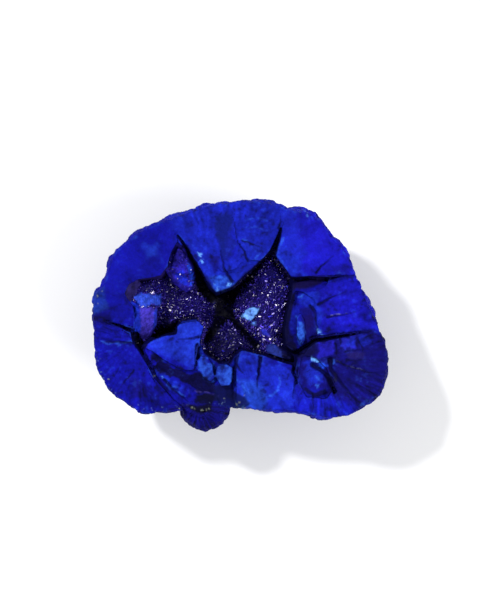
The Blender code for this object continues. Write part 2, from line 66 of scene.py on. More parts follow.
# The outline of the face, and of the hollow in it.
STONE_OUTLINE = [
    (18.0, -5.4), (17.0, -2.6), (15.9, 0.4), (14.5, 3.3), (13.5, 6.2),
    (11.5, 9.2), (9.2, 12.0), (5.9, 12.8), (3.0, 13.5), (0.6, 13.9),
    (-2.8, 13.3), (-6.6, 12.3), (-10.2, 10.9), (-13.2, 9.2), (-15.5, 6.8),
    (-16.6, 3.9), (-17.7, 1.6), (-18.0, -0.8), (-17.4, -4.4), (-17.2, -6.8),
    (-15.8, -9.3), (-13.9, -10.6), (-11.8, -11.9), (-9.6, -11.8),
    (-7.0, -11.7), (-4.0, -11.4), (-1.0, -11.1), (2.2, -11.8), (6.1, -11.8),
    (9.4, -12.5), (13.2, -12.1), (15.9, -10.6), (17.5, -8.1),
]
HOLLOW_OUTLINE = [
    (-13.9, 2.3), (-13.4, 3.5), (-12.2, 4.1), (-9.6, 4.5), (-8.7, 5.7),
    (-8.4, 7.1), (-7.6, 8.8), (-6.0, 7.6), (-5.1, 6.0), (-4.3, 4.8),
    (-3.5, 3.3), (-2.9, 2.5), (-1.0, 3.2), (1.2, 5.3), (2.6, 6.6),
    (3.8, 7.7), (5.2, 6.1), (6.6, 4.3), (6.5, 2.2), (6.1, 0.2),
    (5.6, -2.0), (5.5, -3.9), (6.7, -4.8), (6.7, -6.3), (5.1, -5.9),
    (2.6, -5.0), (0.2, -4.4), (-0.7, -5.1), (-1.2, -6.0), (-2.6, -6.0),
    (-4.3, -4.8), (-4.9, -3.5), (-4.4, -1.6), (-5.3, -0.7), (-7.0, -0.9),
    (-7.6, -1.6), (-7.6, -2.5), (-9.0, -2.7), (-10.8, -3.4), (-11.5, -4.1),
    (-12.7, -3.4), (-12.7, -0.5), (-12.9, 0.9),
]

# Where the fibres of each part run out from, and the part that they fill. The
# first one holds wherever no other does.
FIBRE_FANS = [
    ((-2.6, 0.4), None),
    ((9.4, -5.6),
     [(6.9, -5.2), (9.6, -3.4), (15.8, -2.4), (19.0, -4.0), (18.0, -10.0), (13.0, -13.5),
      (6.8, -13.0)]),
    ((-12.4, -3.2),
     [(-12.4, -3.4), (-9.9, -8.0), (-6.2, -11.5), (-8.0, -14.0), (-19.0, -14.0), (-19.0, -0.6),
      (-15.6, -1.2)]),
    ((-5.0, -11.2),
     [(-8.6, -11.2), (-6.4, -10.7), (-2.6, -10.8), (-1.0, -11.4), (-1.2, -14.5),
      (-8.6, -14.5)]),
]

# Steps between blocks of the face that are only just felt.
FAINT_STEPS = [
    [(11.9, 4.3), (14.5, 4.7), (17.0, 5.0)],
    [(-7.9, 10.3), (-8.5, 12.2), (-9.2, 14.5)],
    [(5.0, 11.5), (6.0, 14.5)],
    [(-5.2, 6.4), (-3.4, 6.1), (-2.2, 4.9), (-0.6, 5.2), (0.6, 6.4), (2.0, 6.4)],
    [(15.8, -2.0), (18.0, -2.0)],
    [(6.7, -0.5), (7.2, 0.2), (7.8, -1.0), (7.8, -3.2), (7.3, -4.0)],
]

# The lower left crack's right side leans, and leaves only a narrow gap: its corners
# with their heights. It is a block that reaches down into the stone.
CRACK_SIDE = [
    (-11.9, -3.9, 13.9), (-11.1, -3.6, 14.3), (-10.2, -4.5, 14.2), (-10.0, -5.8, 13.6),
    (-10.4, -6.9, 13.2), (-10.8, -6.4, 13.3), (-11.5, -5.1, 13.6),
]
BLOCK_DEPTH = 2.5

# How cracks and lines stray: how far, in bumps of what size, and which noise.
CROOK = (0.16, 0.8, 2, (5.0, 11.0))
# Fine cracks in the face: points from the hollow outwards, width and depth.
HAIRLINES = [
    ([(8.6, -3.1), (11.0, -2.7), (13.5, -2.35), (15.8, -2.0)], 0.30, 0.5),
    ([(6.4, -5.6), (6.6, -6.6), (6.8, -7.6), (6.5, -8.9), (6.4, -10.2)], 0.30, 0.5),
    ([(-9.2, -8.0), (-7.6, -9.6), (-6.4, -10.6)], 0.16, 0.3),
    ([(11.9, -2.9), (12.0, -4.4)], 0.10, 0.2),
    ([(0.9, 6.2), (0.3, 7.6), (-0.3, 8.6), (-0.6, 10.1), (-1.0, 11.6)], 0.12, 0.3),
    ([(-1.0, 3.8), (-1.5, 4.5), (-2.0, 5.5), (-2.2, 6.5), (-2.3, 7.6)], 0.20, 0.4),
    ([(0.2, 8.7), (1.6, 8.3), (2.8, 7.9)], 0.12, 0.2),
    ([(-12.0, -3.2), (-12.7, -2.0), (-14.5, -1.5), (-16.1, -1.0)], 0.30, 0.5),
    ([(-12.9, -3.5), (-14.8, -3.4), (-16.6, -3.4)], 0.18, 0.3),
    ([(2.3, -5.2), (2.2, -7.4), (1.9, -8.9)], 0.20, 0.5),
    ([(-0.6, -6.0), (0.0, -6.7), (0.5, -7.4)], 0.16, 0.3),
    ([(-11.9, -4.2), (-11.5, -5.1), (-10.5, -7.0), (-9.9, -8.0), (-8.7, -9.3)], 0.24, 0.3),
    ([(-0.4, -4.6), (-0.6, -6.2), (-1.0, -7.7), (-0.8, -10.3)], 0.24, 0.4),
    ([(-5.1, -3.8), (-5.3, -5.4), (-5.5, -6.7)], 0.24, 0.5),
    ([(-4.9, -2.8), (-6.2, -3.0), (-7.6, -3.0)], 0.16, 0.4),
    ([(9.3, 1.1), (10.8, 1.9), (12.3, 2.5)], 0.20, 0.3),
    ([(10.3, -0.45), (11.6, -0.25), (12.9, -0.05), (14.4, 0.4)], 0.13, 0.3),
    ([(8.3, 0.9), (8.9, 0.2), (9.2, -1.6), (9.1, -2.5)], 0.16, 0.25),
    ([(9.0, 4.9), (10.0, 5.9), (11.2, 6.9)], 0.18, 0.3),
    ([(10.4, 4.15), (11.4, 4.35), (12.6, 4.5), (13.6, 4.55)], 0.22, 0.5),
    ([(8.7, -6.2), (9.9, -6.95), (10.7, -7.7), (11.1, -8.5), (11.3, -9.5)], 0.26, 0.5),
    ([(10.7, -5.4), (10.95, -6.8), (11.7, -7.9), (12.7, -9.0), (13.9, -10.7)], 0.25, 0.45),
    ([(11.6, -5.8), (13.2, -6.4), (15.2, -7.0), (17.4, -7.6)], 0.14, 0.3),
    ([(12.5, -4.5), (13.8, -4.45), (15.0, -4.5)], 0.12, 0.2),
    ([(12.8, -5.6), (13.9, -5.6), (15.1, -5.5)], 0.16, 0.2),
    ([(11.3, -3.6), (11.5, -4.6), (11.3, -5.4)], 0.14, 0.25),
    ([(14.1, -3.2), (14.7, -4.2), (14.6, -5.0)], 0.12, 0.2),
    ([(8.6, -9.6), (8.8, -10.8), (8.7, -11.8)], 0.12, 0.2),
    ([(-12.8, -6.8), (-14.0, -8.2), (-14.9, -9.6)], 0.12, 0.15),
    ([(4.65, 10.2), (4.75, 10.9), (4.8, 11.7)], 0.12, 0.25),
]


def to_points(mesh):
    """A mesh's points and their normals, in millimetres, as two tables."""
    spots, normals = np.empty(len(mesh.vertices) * 3), np.empty(len(mesh.vertices) * 3)
    mesh.vertices.foreach_get("co", spots)
    mesh.vertex_normals.foreach_get("vector", normals)
    return spots.reshape(-1, 3) / MM, normals.reshape(-1, 3)


def put_points(mesh, spots):
    """Moves a mesh's points to places in millimetres."""
    mesh.vertices.foreach_set("co", (spots * MM).ravel())
    mesh.update()


def within(spots, corners):
    """Whether each place lies inside a polygon, seen from above."""
    found = np.zeros(len(spots), bool)
    for (ax, ay), (bx, by) in zip(corners, corners[1:] + corners[:1]):
        if ay == by:
            continue
        crosses = (spots[:, 1] < ay) != (spots[:, 1] < by)
        found ^= crosses & (spots[:, 0] < ax + (spots[:, 1] - ay) * (bx - ax) / (by - ay))
    return found


def line_distance(spots, line):
    """How far each place is from a line of points, and its share of the line there."""
    nearest, share = np.full(len(spots), 1e3), np.zeros(len(spots))
    for i, (a, b) in enumerate(zip(np.array(line[:-1]), np.array(line[1:]))):
        along = np.clip((spots[:, :2] - a) @ (b - a) / ((b - a) @ (b - a)), 0, 1)
        away = np.linalg.norm(spots[:, :2] - a - along[:, None] * (b - a), axis=1)
        share = np.where(away < nearest, (i + along) / (len(line) - 1), share)
        nearest = np.minimum(nearest, away)
    return nearest, share


def depth_within(spots, corners):
    """How far each place lies inside a polygon, and below zero where it is outside."""
    away = line_distance(spots, corners + corners[:1])[0]
    return np.where(within(spots, corners), away, -away)


def ramp(values, low, high):
    """0 up to low, 1 from high on, and a smooth rise between."""
    share = np.clip((values - low) / (high - low), 0, 1)
    return share * share * (3 - 2 * share)


def wobble(spots, size, octaves=2):
    """Noise from about -1 to 1 at each place, with its largest bumps of one size.

    A number that is added to the places only shifts the noise, so no two are alike.
    """
    return np.array([
        noise.fractal(Vector(p) / size + STONE_SEED, 0.9, 2.1, octaves,
                      noise_basis="PERLIN_NEW") for p in spots
    ])


def strayed(spots, reach, size, octaves, shifts):
    """The places moved sideways by noise, so that what is drawn with them is uneven."""
    moved = spots.copy()
    for axis, shift in enumerate(shifts):
        moved[:, axis] += reach * wobble(spots + shift, size, octaves)
    return moved


def knobs(spots, size):
    """Round bumps side by side: 1 on top of each, and 0 in the seams."""
    away = np.array([noise.voronoi(Vector(p) / size)[0][0] for p in spots])
    return np.sqrt(np.clip(1 - (away / 0.75) ** 2, 0, 1))


def fibres(spots, width, length):
    """Streaks that run out from the middle of each part of the stone."""
    value = np.zeros(len(spots))
    for (x, y), part in FIBRE_FANS:
        chosen = np.flatnonzero(within(spots, part)) if part else np.arange(len(spots))
        out = spots[chosen] - (x, y, 0)
        far = np.linalg.norm(out[:, :2], axis=1) + 0.2
        # Streaks keep their width from near the middle to the rim.
        turns = out[:, :2] / far[:, None] * (6.0 / width)
        flat = np.column_stack([turns, far / length + out[:, 2] / (3 * width)])
        value[chosen] = wobble(flat, 1.0, 2)
    return value


def stone_zones(spots, normals):
    """How much each point belongs to the broken face, the rind and the hollow."""
    inner = depth_within(spots, STONE_OUTLINE)
    hollow = ramp(depth_within(spots, HOLLOW_OUTLINE), -0.25, 0.05)
    hollow *= 1 - ramp(spots[:, 2], 13.4, 14.2) * ramp(normals[:, 2], 0.3, 0.6)
    face = ramp(normals[:, 2], 0.35, 0.65) * ramp(spots[:, 2], 11.2, 11.8) * (1 - hollow)
    low = 1 - ramp(spots[:, 2], 10.2, 11.2)
    rind = (1 - ramp(inner, 0.9, 1.5) * (1 - low)) * (1 - hollow) * (1 - face)
    return face, rind, hollow


def merged_copy(node, name):
    """A new object with a node's mesh, its loose triangles joined into one skin."""
    piece = bpy.data.objects.new(name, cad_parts[node].data.copy())
    bpy.context.scene.collection.objects.link(piece)
    bpy.context.view_layer.objects.active = piece
    piece.select_set(True)
    bpy.ops.object.mode_set(mode="EDIT")
    bpy.ops.mesh.select_all(action="SELECT")
    bpy.ops.mesh.remove_doubles(threshold=0.001 * MM)
    bpy.ops.object.mode_set(mode="OBJECT")
    return piece


def remeshed(piece, voxel):
    """The same skin in even small squares, fine enough to carry low relief."""
    modifier = piece.modifiers.new("even_skin", "REMESH")
    modifier.mode = "VOXEL"
    modifier.voxel_size = voxel * MM
    bpy.ops.object.modifier_apply(modifier=modifier.name)


def evened(mesh, spots, rounds, weight=1.0):
    """The points after each has moved some times to the middle of its neighbours."""
    edges = np.empty(len(mesh.edges) * 2, int)
    mesh.edges.foreach_get("vertices", edges)
    edges = edges.reshape(-1, 2)
    both = np.concatenate([edges, edges[:, ::-1]])
    count = np.maximum(np.bincount(both[:, 0], minlength=len(spots)), 1)
    for _ in range(rounds):
        mean = np.column_stack([np.bincount(both[:, 0], spots[both[:, 1], axis], len(spots))
                                for axis in range(3)]) / count[:, None]
        spots = spots + (mean - spots) * weight
    return spots


def with_blocks(piece, blocks):
    """Joins blocks to a piece: each has the corners of its top, and reaches down."""
    bpy.ops.object.select_all(action="DESELECT")
    for corners in blocks:
        top = bpy.data.meshes.new("block")
        top.from_pydata([(x * MM, y * MM, z * MM) for x, y, z in corners], [],
                        [tuple(reversed(range(len(corners))))])
        block = bpy.data.objects.new("block", top)
        bpy.context.scene.collection.objects.link(block)
        bpy.context.view_layer.objects.active = block
        thick = block.modifiers.new("depth", "SOLIDIFY")
        thick.thickness = BLOCK_DEPTH * MM
        thick.offset = -1.0
        bpy.ops.object.modifier_apply(modifier=thick.name)
        block.select_set(True)
    piece.select_set(True)
    bpy.context.view_layer.objects.active = piece
    bpy.ops.object.join()


stone = merged_copy("nodule", "azurite_stone")
with_blocks(stone, [CRACK_SIDE])
remeshed(stone, STONE_VOXEL)
spots, normals = to_points(stone.data)
face = stone_zones(spots, normals)[0]
faint = np.zeros(len(spots))
for line in FAINT_STEPS:
    faint = np.maximum(faint, ramp(line_distance(spots, line)[0], 1.2, 0.6))
spots = evened(stone.data, spots, 50, (faint * face)[:, None] * (0, 0, 1))
put_points(stone.data, spots)
spots, normals = to_points(stone.data)
face, rind, hollow = stone_zones(spots, normals)
walls = np.clip(1 - face - rind, 0, 1)

# The break: slow swells, small steps where it jumped from layer to layer, fibres
# and grain. The steps are noise cut into levels.
swell = wobble(spots, 3.6)
levels = wobble(spots * (1, 1, 0.4), 2.4) * 4.5
steps = np.floor(levels) + ramp(levels - np.floor(levels), 0.72, 1.0)
grain = wobble(spots, 0.42)
streaks = fibres(spots, 0.55, 3.5)
rimward = 1 - ramp(depth_within(spots, STONE_OUTLINE), *RIM_BAND)
break_lift = SWELL * swell + STEP * steps + (FIBRE + RIM_FIBRE * rimward) * streaks
break_lift += GRAIN * grain
crooked = strayed(spots, *CROOK)
for line, width, depth in HAIRLINES:
    away, share = line_distance(crooked, line)
    taper = 1 - 0.7 * share
    break_lift -= depth * taper * np.clip(1.4 - away / (width * taper), 0, 1)

# The rind: lobes in two sizes, pressed against each other, with fine grain.
rind_lift = sum(height * knobs(spots, size) for size, height in RIND_LOBES) - RIND_SINK
rind_lift += RIND_SWELL * swell + RIND_GRAIN * grain
wall_lift = WALL_GRAIN * grain + WALL_GRAIN * streaks

lift = face * break_lift + rind * rind_lift + walls * wall_lift
# The foot stays flat.
lift *= ramp(spots[:, 2], 0.02, 0.5)
spots += normals * lift[:, None]
spots[:, 2] = np.maximum(spots[:, 2], 0.0)
put_points(stone.data, spots)


def thinned(piece, chosen, share):
    """Fewer triangles where the mask is set, with the rest left as it is."""
    bpy.ops.object.mode_set(mode="EDIT")
    bpy.ops.mesh.select_mode(type="VERT")
    bpy.ops.mesh.select_all(action="DESELECT")
    bpy.ops.object.mode_set(mode="OBJECT")
    piece.data.vertices.foreach_set("select", chosen)
    bpy.ops.object.mode_set(mode="EDIT")
    bpy.ops.mesh.decimate(ratio=share)
    bpy.ops.object.mode_set(mode="OBJECT")


# The skin is thinned where nobody looks closely: under the druse, deep in the
# cracks and on the lower rind.
buried = (hollow > 0.5) & (spots[:, 2] < BURIED_BELOW)
deep = (spots[:, 2] < DEEP_BELOW) & (rind < 0.5) | buried
thinned(stone, deep, DEEP_SHARE)
spots, normals = to_points(stone.data)
rind = stone_zones(spots, normals)[1]
thinned(stone, (rind > 0.5) & (spots[:, 2] < LOW_RIND), RIND_SHARE)

# Tones of the stone. The massive blue is nearly pure, violet where it is coarse
# and sky blue where the fibres were bruised white by the break. Sky blue and pale
# also paint highlights and sheen, and the darkest tones also paint shade in cracks and recesses.
DEEP = (0.0026, 0.0030, 0.200)
BRIGHT = (0.0056, 0.0140, 0.315)
SKY = (0.020, 0.085, 0.48)
PALE = (0.13, 0.36, 0.85)
DUSK = (0.0030, 0.0022, 0.090)
NIGHT = (0.0018, 0.0016, 0.028)
ULTRA = (0.0085, 0.0060, 0.380)
RIND = (0.0036, 0.0036, 0.130)
CLAY = (0.16, 0.18, 0.15)
DUST = (0.012, 0.018, 0.090)
BUD_TONE = (0.0026, 0.0018, 0.080)
SLIT_SHADE = (0.0008, 0.0009, 0.010)
SPECK_TONE = (0.07, 0.11, 0.24)

# The bud on the lower edge, and the slit across its top, painted dark as shade.
BUD = [(-8.8, -11.4), (-6.4, -10.9), (-2.6, -11.0), (-0.8, -11.6), (-0.8, -14.8),
       (-8.8, -14.8)]
BUD_SLIT = [(-6.3, -11.0), (-4.9, -11.1), (-3.5, -10.8), (-3.4, -11.7), (-4.6, -12.1),
            (-6.0, -11.6)]
# Single specks of pale clay: place and radius.
CLAY_SPECKS = [
    (-5.80, -11.32, 0.12), (-5.55, -11.46, 0.09), (-4.72, -11.62, 0.12), (-4.5, -11.7, 0.07),
    (-3.75, -11.45, 0.06), (-4.1, -11.6, 0.06), (-6.4, -11.1, 0.06), (-0.42, -10.9, 0.10),
    (-0.12, -10.65, 0.07), (0.60, -11.4, 0.09), (0.36, -9.8, 0.06), (-1.97, -10.2, 0.06),
    (-7.4, -11.35, 0.08), (-10.4, -7.55, 0.06), (-15.9, -7.9, 0.07), (-16.3, -8.9, 0.06),
    (-17.2, 2.1, 0.08), (-17.1, 1.2, 0.07), (-16.6, 2.7, 0.06), (-17.3, -4.6, 0.06),
]
# The left arm's upper wall, dusky violet, and the rim below where specks of dust lie.
ARM_WALL = [(-14.3, 2.0), (-13.8, 4.0), (-12.2, 4.7), (-9.6, 5.1), (-9.0, 6.2), (-8.4, 4.4),
            (-9.6, 3.4), (-12.0, 3.0), (-12.9, 2.0)]
ARM_WALL_TONE = (0.014, 0.008, 0.095)
DUSTY_RIM = [(-18.5, -5.0), (-16.0, -5.0), (-12.0, -10.0), (-0.5, -10.4), (-0.5, -13.0),
             (-13.0, -13.0), (-18.5, -9.0)]

# Parts of the face with a tone of their own. The sky blue ones are partly bruised fibres
# and partly painted sheen, and some near-black ones are painted shade: tone, strength,
# soft edge, corners.
TONES = [
    (ULTRA, 0.55, 1.5, [(6.0, 14.5), (15.0, 9.0), (15.0, 4.6), (7.6, 4.4), (4.8, 8.0)]),
    (ULTRA, 0.45, 1.5, [(9.6, 3.4), (16.0, 4.0), (17.0, -1.6), (9.6, -2.2)]),
    (BRIGHT, 0.55, 1.2,
     [(-9.4, 15.0), (6.6, 14.0), (7.6, 7.2), (6.6, 4.2), (3.4, 7.2), (-1.4, 2.2), (-3.6, 2.4),
      (-7.8, 8.6)]),
    (DEEP, 0.8, 0.8,
     [(-2.9, 10.7), (-1.7, 11.1), (-0.7, 10.5), (-0.4, 8.4), (-0.5, 6.6), (-2.2, 6.4),
      (-2.8, 8.8)]),
    ((0.0030, 0.0065, 0.110), 0.65, 0.5,
     [(-3.0, 11.6), (-1.7, 12.2), (-1.1, 11.4), (-0.6, 8.6), (-0.9, 6.8), (-2.1, 6.6),
      (-2.8, 8.8)]),
    (BRIGHT, 0.8, 0.7,
     [(4.3, 8.0), (5.4, 7.6), (6.8, 6.2), (7.3, 4.5), (6.7, 4.4), (5.4, 5.4), (4.4, 6.6)]),
    (BRIGHT, 0.9, 0.6,
     [(-5.6, 7.6), (-4.6, 7.4), (-3.2, 5.4), (-1.2, 5.2), (0.8, 5.2), (-0.8, 3.1), (-2.9, 2.4),
      (-3.7, 3.2)]),
    (SKY, 0.5, 0.4,
     [(-3.7, 4.2), (-3.1, 4.7), (-2.2, 4.5), (-0.8, 3.5), (0.0, 4.0), (-0.5, 3.4), (-1.7, 2.8),
      (-3.1, 2.7)]),
    (DEEP, 0.4, 1.0, [(8.8, 7.6), (12.8, 6.6), (13.6, 4.6), (11.0, 4.4), (8.9, 5.2)]),
    (DUSK, 0.5, 0.5, [(11.0, 5.6), (13.0, 6.0), (13.6, 4.6), (11.6, 4.5)]),
    (BRIGHT, 0.9, 0.4,
     [(6.6, 2.3), (8.4, 2.7), (9.8, 2.1), (9.3, 1.1), (10.0, -0.6), (9.6, -2.2), (9.0, -2.4),
      (8.9, 0.2), (8.2, 1.0), (7.0, 1.0)]),
    (SKY, 0.6, 0.2, [(6.8, 2.3), (7.6, 2.3), (7.4, 1.8), (6.9, 1.7)]),
    (BRIGHT, 0.4, 0.5, [(6.2, 0.6), (7.0, 0.8), (7.1, -1.2), (6.6, -2.4), (6.1, -1.4)]),
    # Painted shade in the trench along the right arm's side.
    (NIGHT, 0.93, 0.3,
     [(6.2, 4.2), (6.8, 3.6), (6.5, 2.2), (6.15, 0.5), (5.8, -1.4), (6.0, -3.3), (6.7, -4.3),
      (5.4, -4.4), (4.9, -2.8), (5.2, -0.9), (5.4, 1.0), (5.9, 2.7)]),
    (SKY, 0.7, 0.3,
     [(6.8, -0.6), (7.5, -0.9), (7.7, -2.5), (7.4, -3.7), (6.9, -3.6), (6.7, -2.0)]),
    (DUSK, 0.88, 1.2,
     [(6.5, -4.6), (8.6, -3.3), (10.8, -2.7), (15.8, -2.0), (18.6, -3.8), (18.6, -7.4),
      (17.0, -10.2), (14.4, -11.7), (13.2, -10.9), (11.0, -9.8), (7.2, -8.6)]),
    (BRIGHT, 0.75, 0.5,
     [(7.7, -6.0), (8.8, -5.6), (10.1, -7.0), (9.9, -8.4), (8.3, -8.5), (7.7, -7.5)]),
    (BRIGHT, 0.15, 0.9,
     [(6.8, -8.7), (8.6, -9.2), (10.9, -10.2), (13.6, -11.2), (13.2, -13.0), (6.9, -13.0)]),
    (BRIGHT, 0.4, 0.4, [(14.2, -2.8), (15.2, -2.6), (15.8, -3.6), (14.6, -4.0)]),
    ((0.012, 0.060, 0.60), 0.8, 0.3, [(9.5, -5.8), (10.3, -5.8), (10.4, -6.6), (9.8, -6.6)]),
    (PALE, 1.0, 0.2, [(8.7, -5.3), (9.3, -5.4), (9.4, -5.9), (8.8, -5.9)]),
    (SKY, 0.6, 0.2, [(8.8, -8.6), (9.4, -8.5), (9.5, -9.0), (9.0, -9.2)]),
    (SKY, 0.3, 0.4, [(8.9, -7.4), (9.6, -7.5), (9.6, -8.2), (9.0, -8.1)]),
    ((0.009, 0.007, 0.29), 0.95, 0.3,
     [(9.3, -3.5), (11.1, -3.1), (11.2, -4.4), (10.7, -5.0), (9.4, -5.0)]),
    ((0.010, 0.011, 0.31), 0.9, 0.25, [(12.1, -3.0), (13.7, -2.8), (13.8, -4.2), (12.2, -4.3)]),
    (BRIGHT, 0.7, 0.4, [(12.9, -3.2), (13.7, -3.0), (13.7, -3.8), (13.0, -4.0)]),
    (SKY, 0.8, 0.2, [(10.9, -5.3), (11.4, -5.4), (11.4, -5.9), (11.0, -5.9)]),
    (BRIGHT, 0.75, 0.5,
     [(-0.7, -5.1), (0.0, -4.6), (1.4, -5.0), (5.4, -6.3), (6.5, -7.0), (6.5, -8.3),
      (6.7, -10.3), (6.0, -11.6), (1.8, -11.8), (-0.8, -10.6), (-0.7, -8.0)]),
    (BRIGHT, 0.9, 0.5,
     [(-11.2, -3.9), (-10.8, -3.2), (-9.0, -2.4), (-7.2, -0.7), (-5.2, -0.4), (-4.2, -1.4),
      (-4.6, -4.6), (-5.1, -6.3), (-6.0, -6.5), (-7.4, -6.0), (-9.0, -5.2)]),
    (SKY, 0.07, 0.8, [(-10.4, -3.4), (-8.4, -3.0), (-4.8, -3.0), (-5.2, -5.8), (-7.4, -5.4)]),
    (DUSK, 0.12, 1.0,
     [(-12.0, -4.0), (-18.4, -2.6), (-17.0, -9.6), (-12.0, -12.4), (-7.0, -12.0)]),
    (SKY, 0.10, 0.7,
     [(-7.5, -2.8), (-7.7, -1.5), (-7.1, -0.7), (-6.0, -0.4), (-5.0, -0.7), (-4.4, -1.6),
      (-4.7, -2.7), (-6.0, -2.9)]),
    (SKY, 0.45, 0.3,
     [(-4.8, -5.0), (-3.9, -5.2), (-3.4, -6.1), (-3.2, -7.7), (-3.6, -8.2), (-4.5, -7.7),
      (-5.3, -6.5), (-5.1, -5.6)]),
    (SKY, 0.5, 0.3,
     [(-2.7, -6.2), (-1.6, -6.0), (-0.9, -6.6), (-0.9, -7.9), (-1.4, -8.6), (-2.5, -8.7),
      (-3.0, -7.6), (-3.0, -6.9)]),
    # Painted shade on the ledge face below the lower left block.
    (NIGHT, 0.93, 0.25,
     [(-10.6, -4.6), (-9.4, -5.6), (-7.2, -6.7), (-3.9, -7.6), (-3.2, -8.3), (-2.9, -9.7),
      (-5.1, -9.5), (-7.5, -7.8), (-10.2, -6.8)]),
    (DUSK, 0.7, 0.5, [(-3.2, -8.7), (-0.6, -8.6), (-0.6, -10.6), (-3.0, -10.4)]),
    (NIGHT, 0.8, 0.3, [(-5.3, -9.7), (-2.8, -9.7), (-2.7, -10.6), (-5.2, -10.6)]),
    (DEEP, 0.5, 1.0,
     [(-14.6, -6.2), (-11.6, -6.6), (-10.4, -9.0), (-11.4, -11.4), (-14.2, -10.4)]),
    (DUSK, 0.75, 0.9,
     [(-13.2, -7.6), (-11.6, -7.8), (-10.8, -9.3), (-11.4, -10.4), (-13.0, -10.0)]),
    (ULTRA, 0.35, 0.3,
     [(-11.9, -3.8), (-11.1, -3.6), (-10.4, -4.6), (-10.5, -5.8), (-10.9, -6.3),
      (-11.6, -5.2)]),
    ((0.010, 0.055, 0.30), 0.35, 1.0,
     [(-0.5, -8.0), (2.6, -8.4), (3.3, -10.3), (2.6, -11.6), (0.7, -11.3)]),
    (DUSK, 0.45, 0.5,
     [(-8.6, -11.0), (-6.6, -10.6), (-2.4, -10.8), (-1.0, -11.4), (-1.0, -14.5),
      (-8.8, -14.5)]),
    (DUSK, 0.6, 0.5,
     [(-18.5, 0.9), (-16.2, 1.0), (-15.6, -0.6), (-16.4, -1.6), (-18.5, -1.4)]),
    ((0.006, 0.024, 0.19), 0.6, 0.6,
     [(-17.9, 2.8), (-16.6, 3.0), (-15.9, 1.2), (-16.3, 0.1), (-18.3, 0.3)]),
    ((0.010, 0.040, 0.38), 0.4, 0.9, [(-11.6, 8.2), (-10.1, 8.3), (-9.9, 7.1), (-11.3, 6.8)]),
    (BRIGHT, 0.6, 0.6, [(0.0, 8.6), (1.7, 8.4), (2.9, 7.5), (1.6, 5.9), (0.5, 6.4)]),
    (DUSK, 0.7, 0.4, [(-3.6, 7.0), (-2.7, 7.0), (-2.3, 5.6), (-2.9, 5.0), (-3.6, 5.8)]),
]
# Dark parts, most of them painted shade in holes, pits, cracks and trenches, a few of darker
# tone: tone, strength, soft edge, corners.
DARK_PARTS = [
    ((0.0028, 0.0070, 0.130), 0.75, 0.5,
     [(-3.0, 11.6), (-0.9, 12.0), (-1.0, 10.8), (-1.7, 9.4), (-1.8, 7.6), (-1.5, 6.4),
      (-2.1, 6.3), (-2.6, 8.4), (-3.0, 10.0)]),
    (NIGHT, 0.95, 0.2,
     [(-13.1, -2.0), (-12.5, -2.3), (-12.1, -3.3), (-11.2, -3.7), (-11.5, -4.4), (-12.5, -4.0),
      (-13.0, -3.0)]),
    (NIGHT, 0.95, 0.25,
     [(10.2, -7.4), (10.9, -7.5), (11.3, -8.3), (11.6, -9.3), (11.2, -9.8), (10.9, -9.2),
      (10.5, -8.4)]),
    (DUSK, 0.85, 0.3,
     [(11.3, -6.6), (12.0, -7.3), (12.8, -9.2), (12.4, -9.8), (11.6, -9.6), (11.0, -8.4)]),
    ((0.010, 0.011, 0.040), 0.8, 0.2, [(11.1, -7.0), (11.5, -7.2), (11.6, -8.3), (11.2, -8.1)]),
    (NIGHT, 0.9, 0.25,
     [(7.4, -9.1), (8.6, -10.1), (10.5, -9.7), (10.3, -9.0), (8.8, -9.45), (7.8, -8.8)]),
    (NIGHT, 0.75, 0.6,
     [(6.7, -4.7), (8.3, -3.5), (9.1, -3.3), (9.0, -4.9), (8.2, -5.1), (7.0, -5.3)]),
    ((0.011, 0.0075, 0.085), 0.75, 0.3,
     [(12.6, -4.7), (14.9, -4.6), (14.8, -5.4), (12.9, -5.4)]),
    (NIGHT, 0.9, 0.4,
     [(5.9, 0.3), (5.7, -1.1), (6.15, -2.6), (6.85, -4.0), (6.5, -4.9), (5.2, -4.4),
      (4.9, -2.0), (5.3, 0.3)]),
    (DUSK, 0.76, 0.7,
     [(7.2, 0.6), (8.2, 0.8), (8.8, 0.1), (9.15, -1.6), (9.05, -2.5), (8.6, -2.9), (7.8, -3.5),
      (7.65, -1.7), (7.3, -0.5)]),
    ((0.0036, 0.0016, 0.030), 0.93, 0.5,
     [(6.2, 4.1), (8.4, 4.5), (11.0, 4.4), (9.8, 3.7), (8.6, 3.1), (6.4, 2.9)]),
    ((0.0010, 0.0012, 0.014), 0.9, 0.3,
     [(-5.3, -9.8), (-4.0, -9.6), (-3.1, -9.9), (-3.3, -10.9), (-5.0, -10.9)]),
    ((0.0060, 0.0018, 0.045), 0.35, 0.5, [(7.6, -0.4), (8.6, 0.2), (8.9, -1.4), (8.0, -2.6)]),
    (DUSK, 0.55, 1.4, [(14.8, -4.2), (18.6, -3.6), (18.6, -7.4), (16.6, -8.6), (14.4, -7.0)]),
    (DUSK, 0.40, 0.8, [(7.0, -7.0), (7.8, -6.8), (8.2, -8.6), (7.2, -9.4), (6.7, -8.4)]),
    ((0.0014, 0.0030, 0.034), 0.85, 0.4,
     [(-3.2, -8.6), (-1.2, -8.7), (-0.8, -9.3), (0.5, -10.0), (1.3, -10.9), (-0.4, -11.6),
      (-1.2, -11.3), (-3.0, -10.9)]),
]
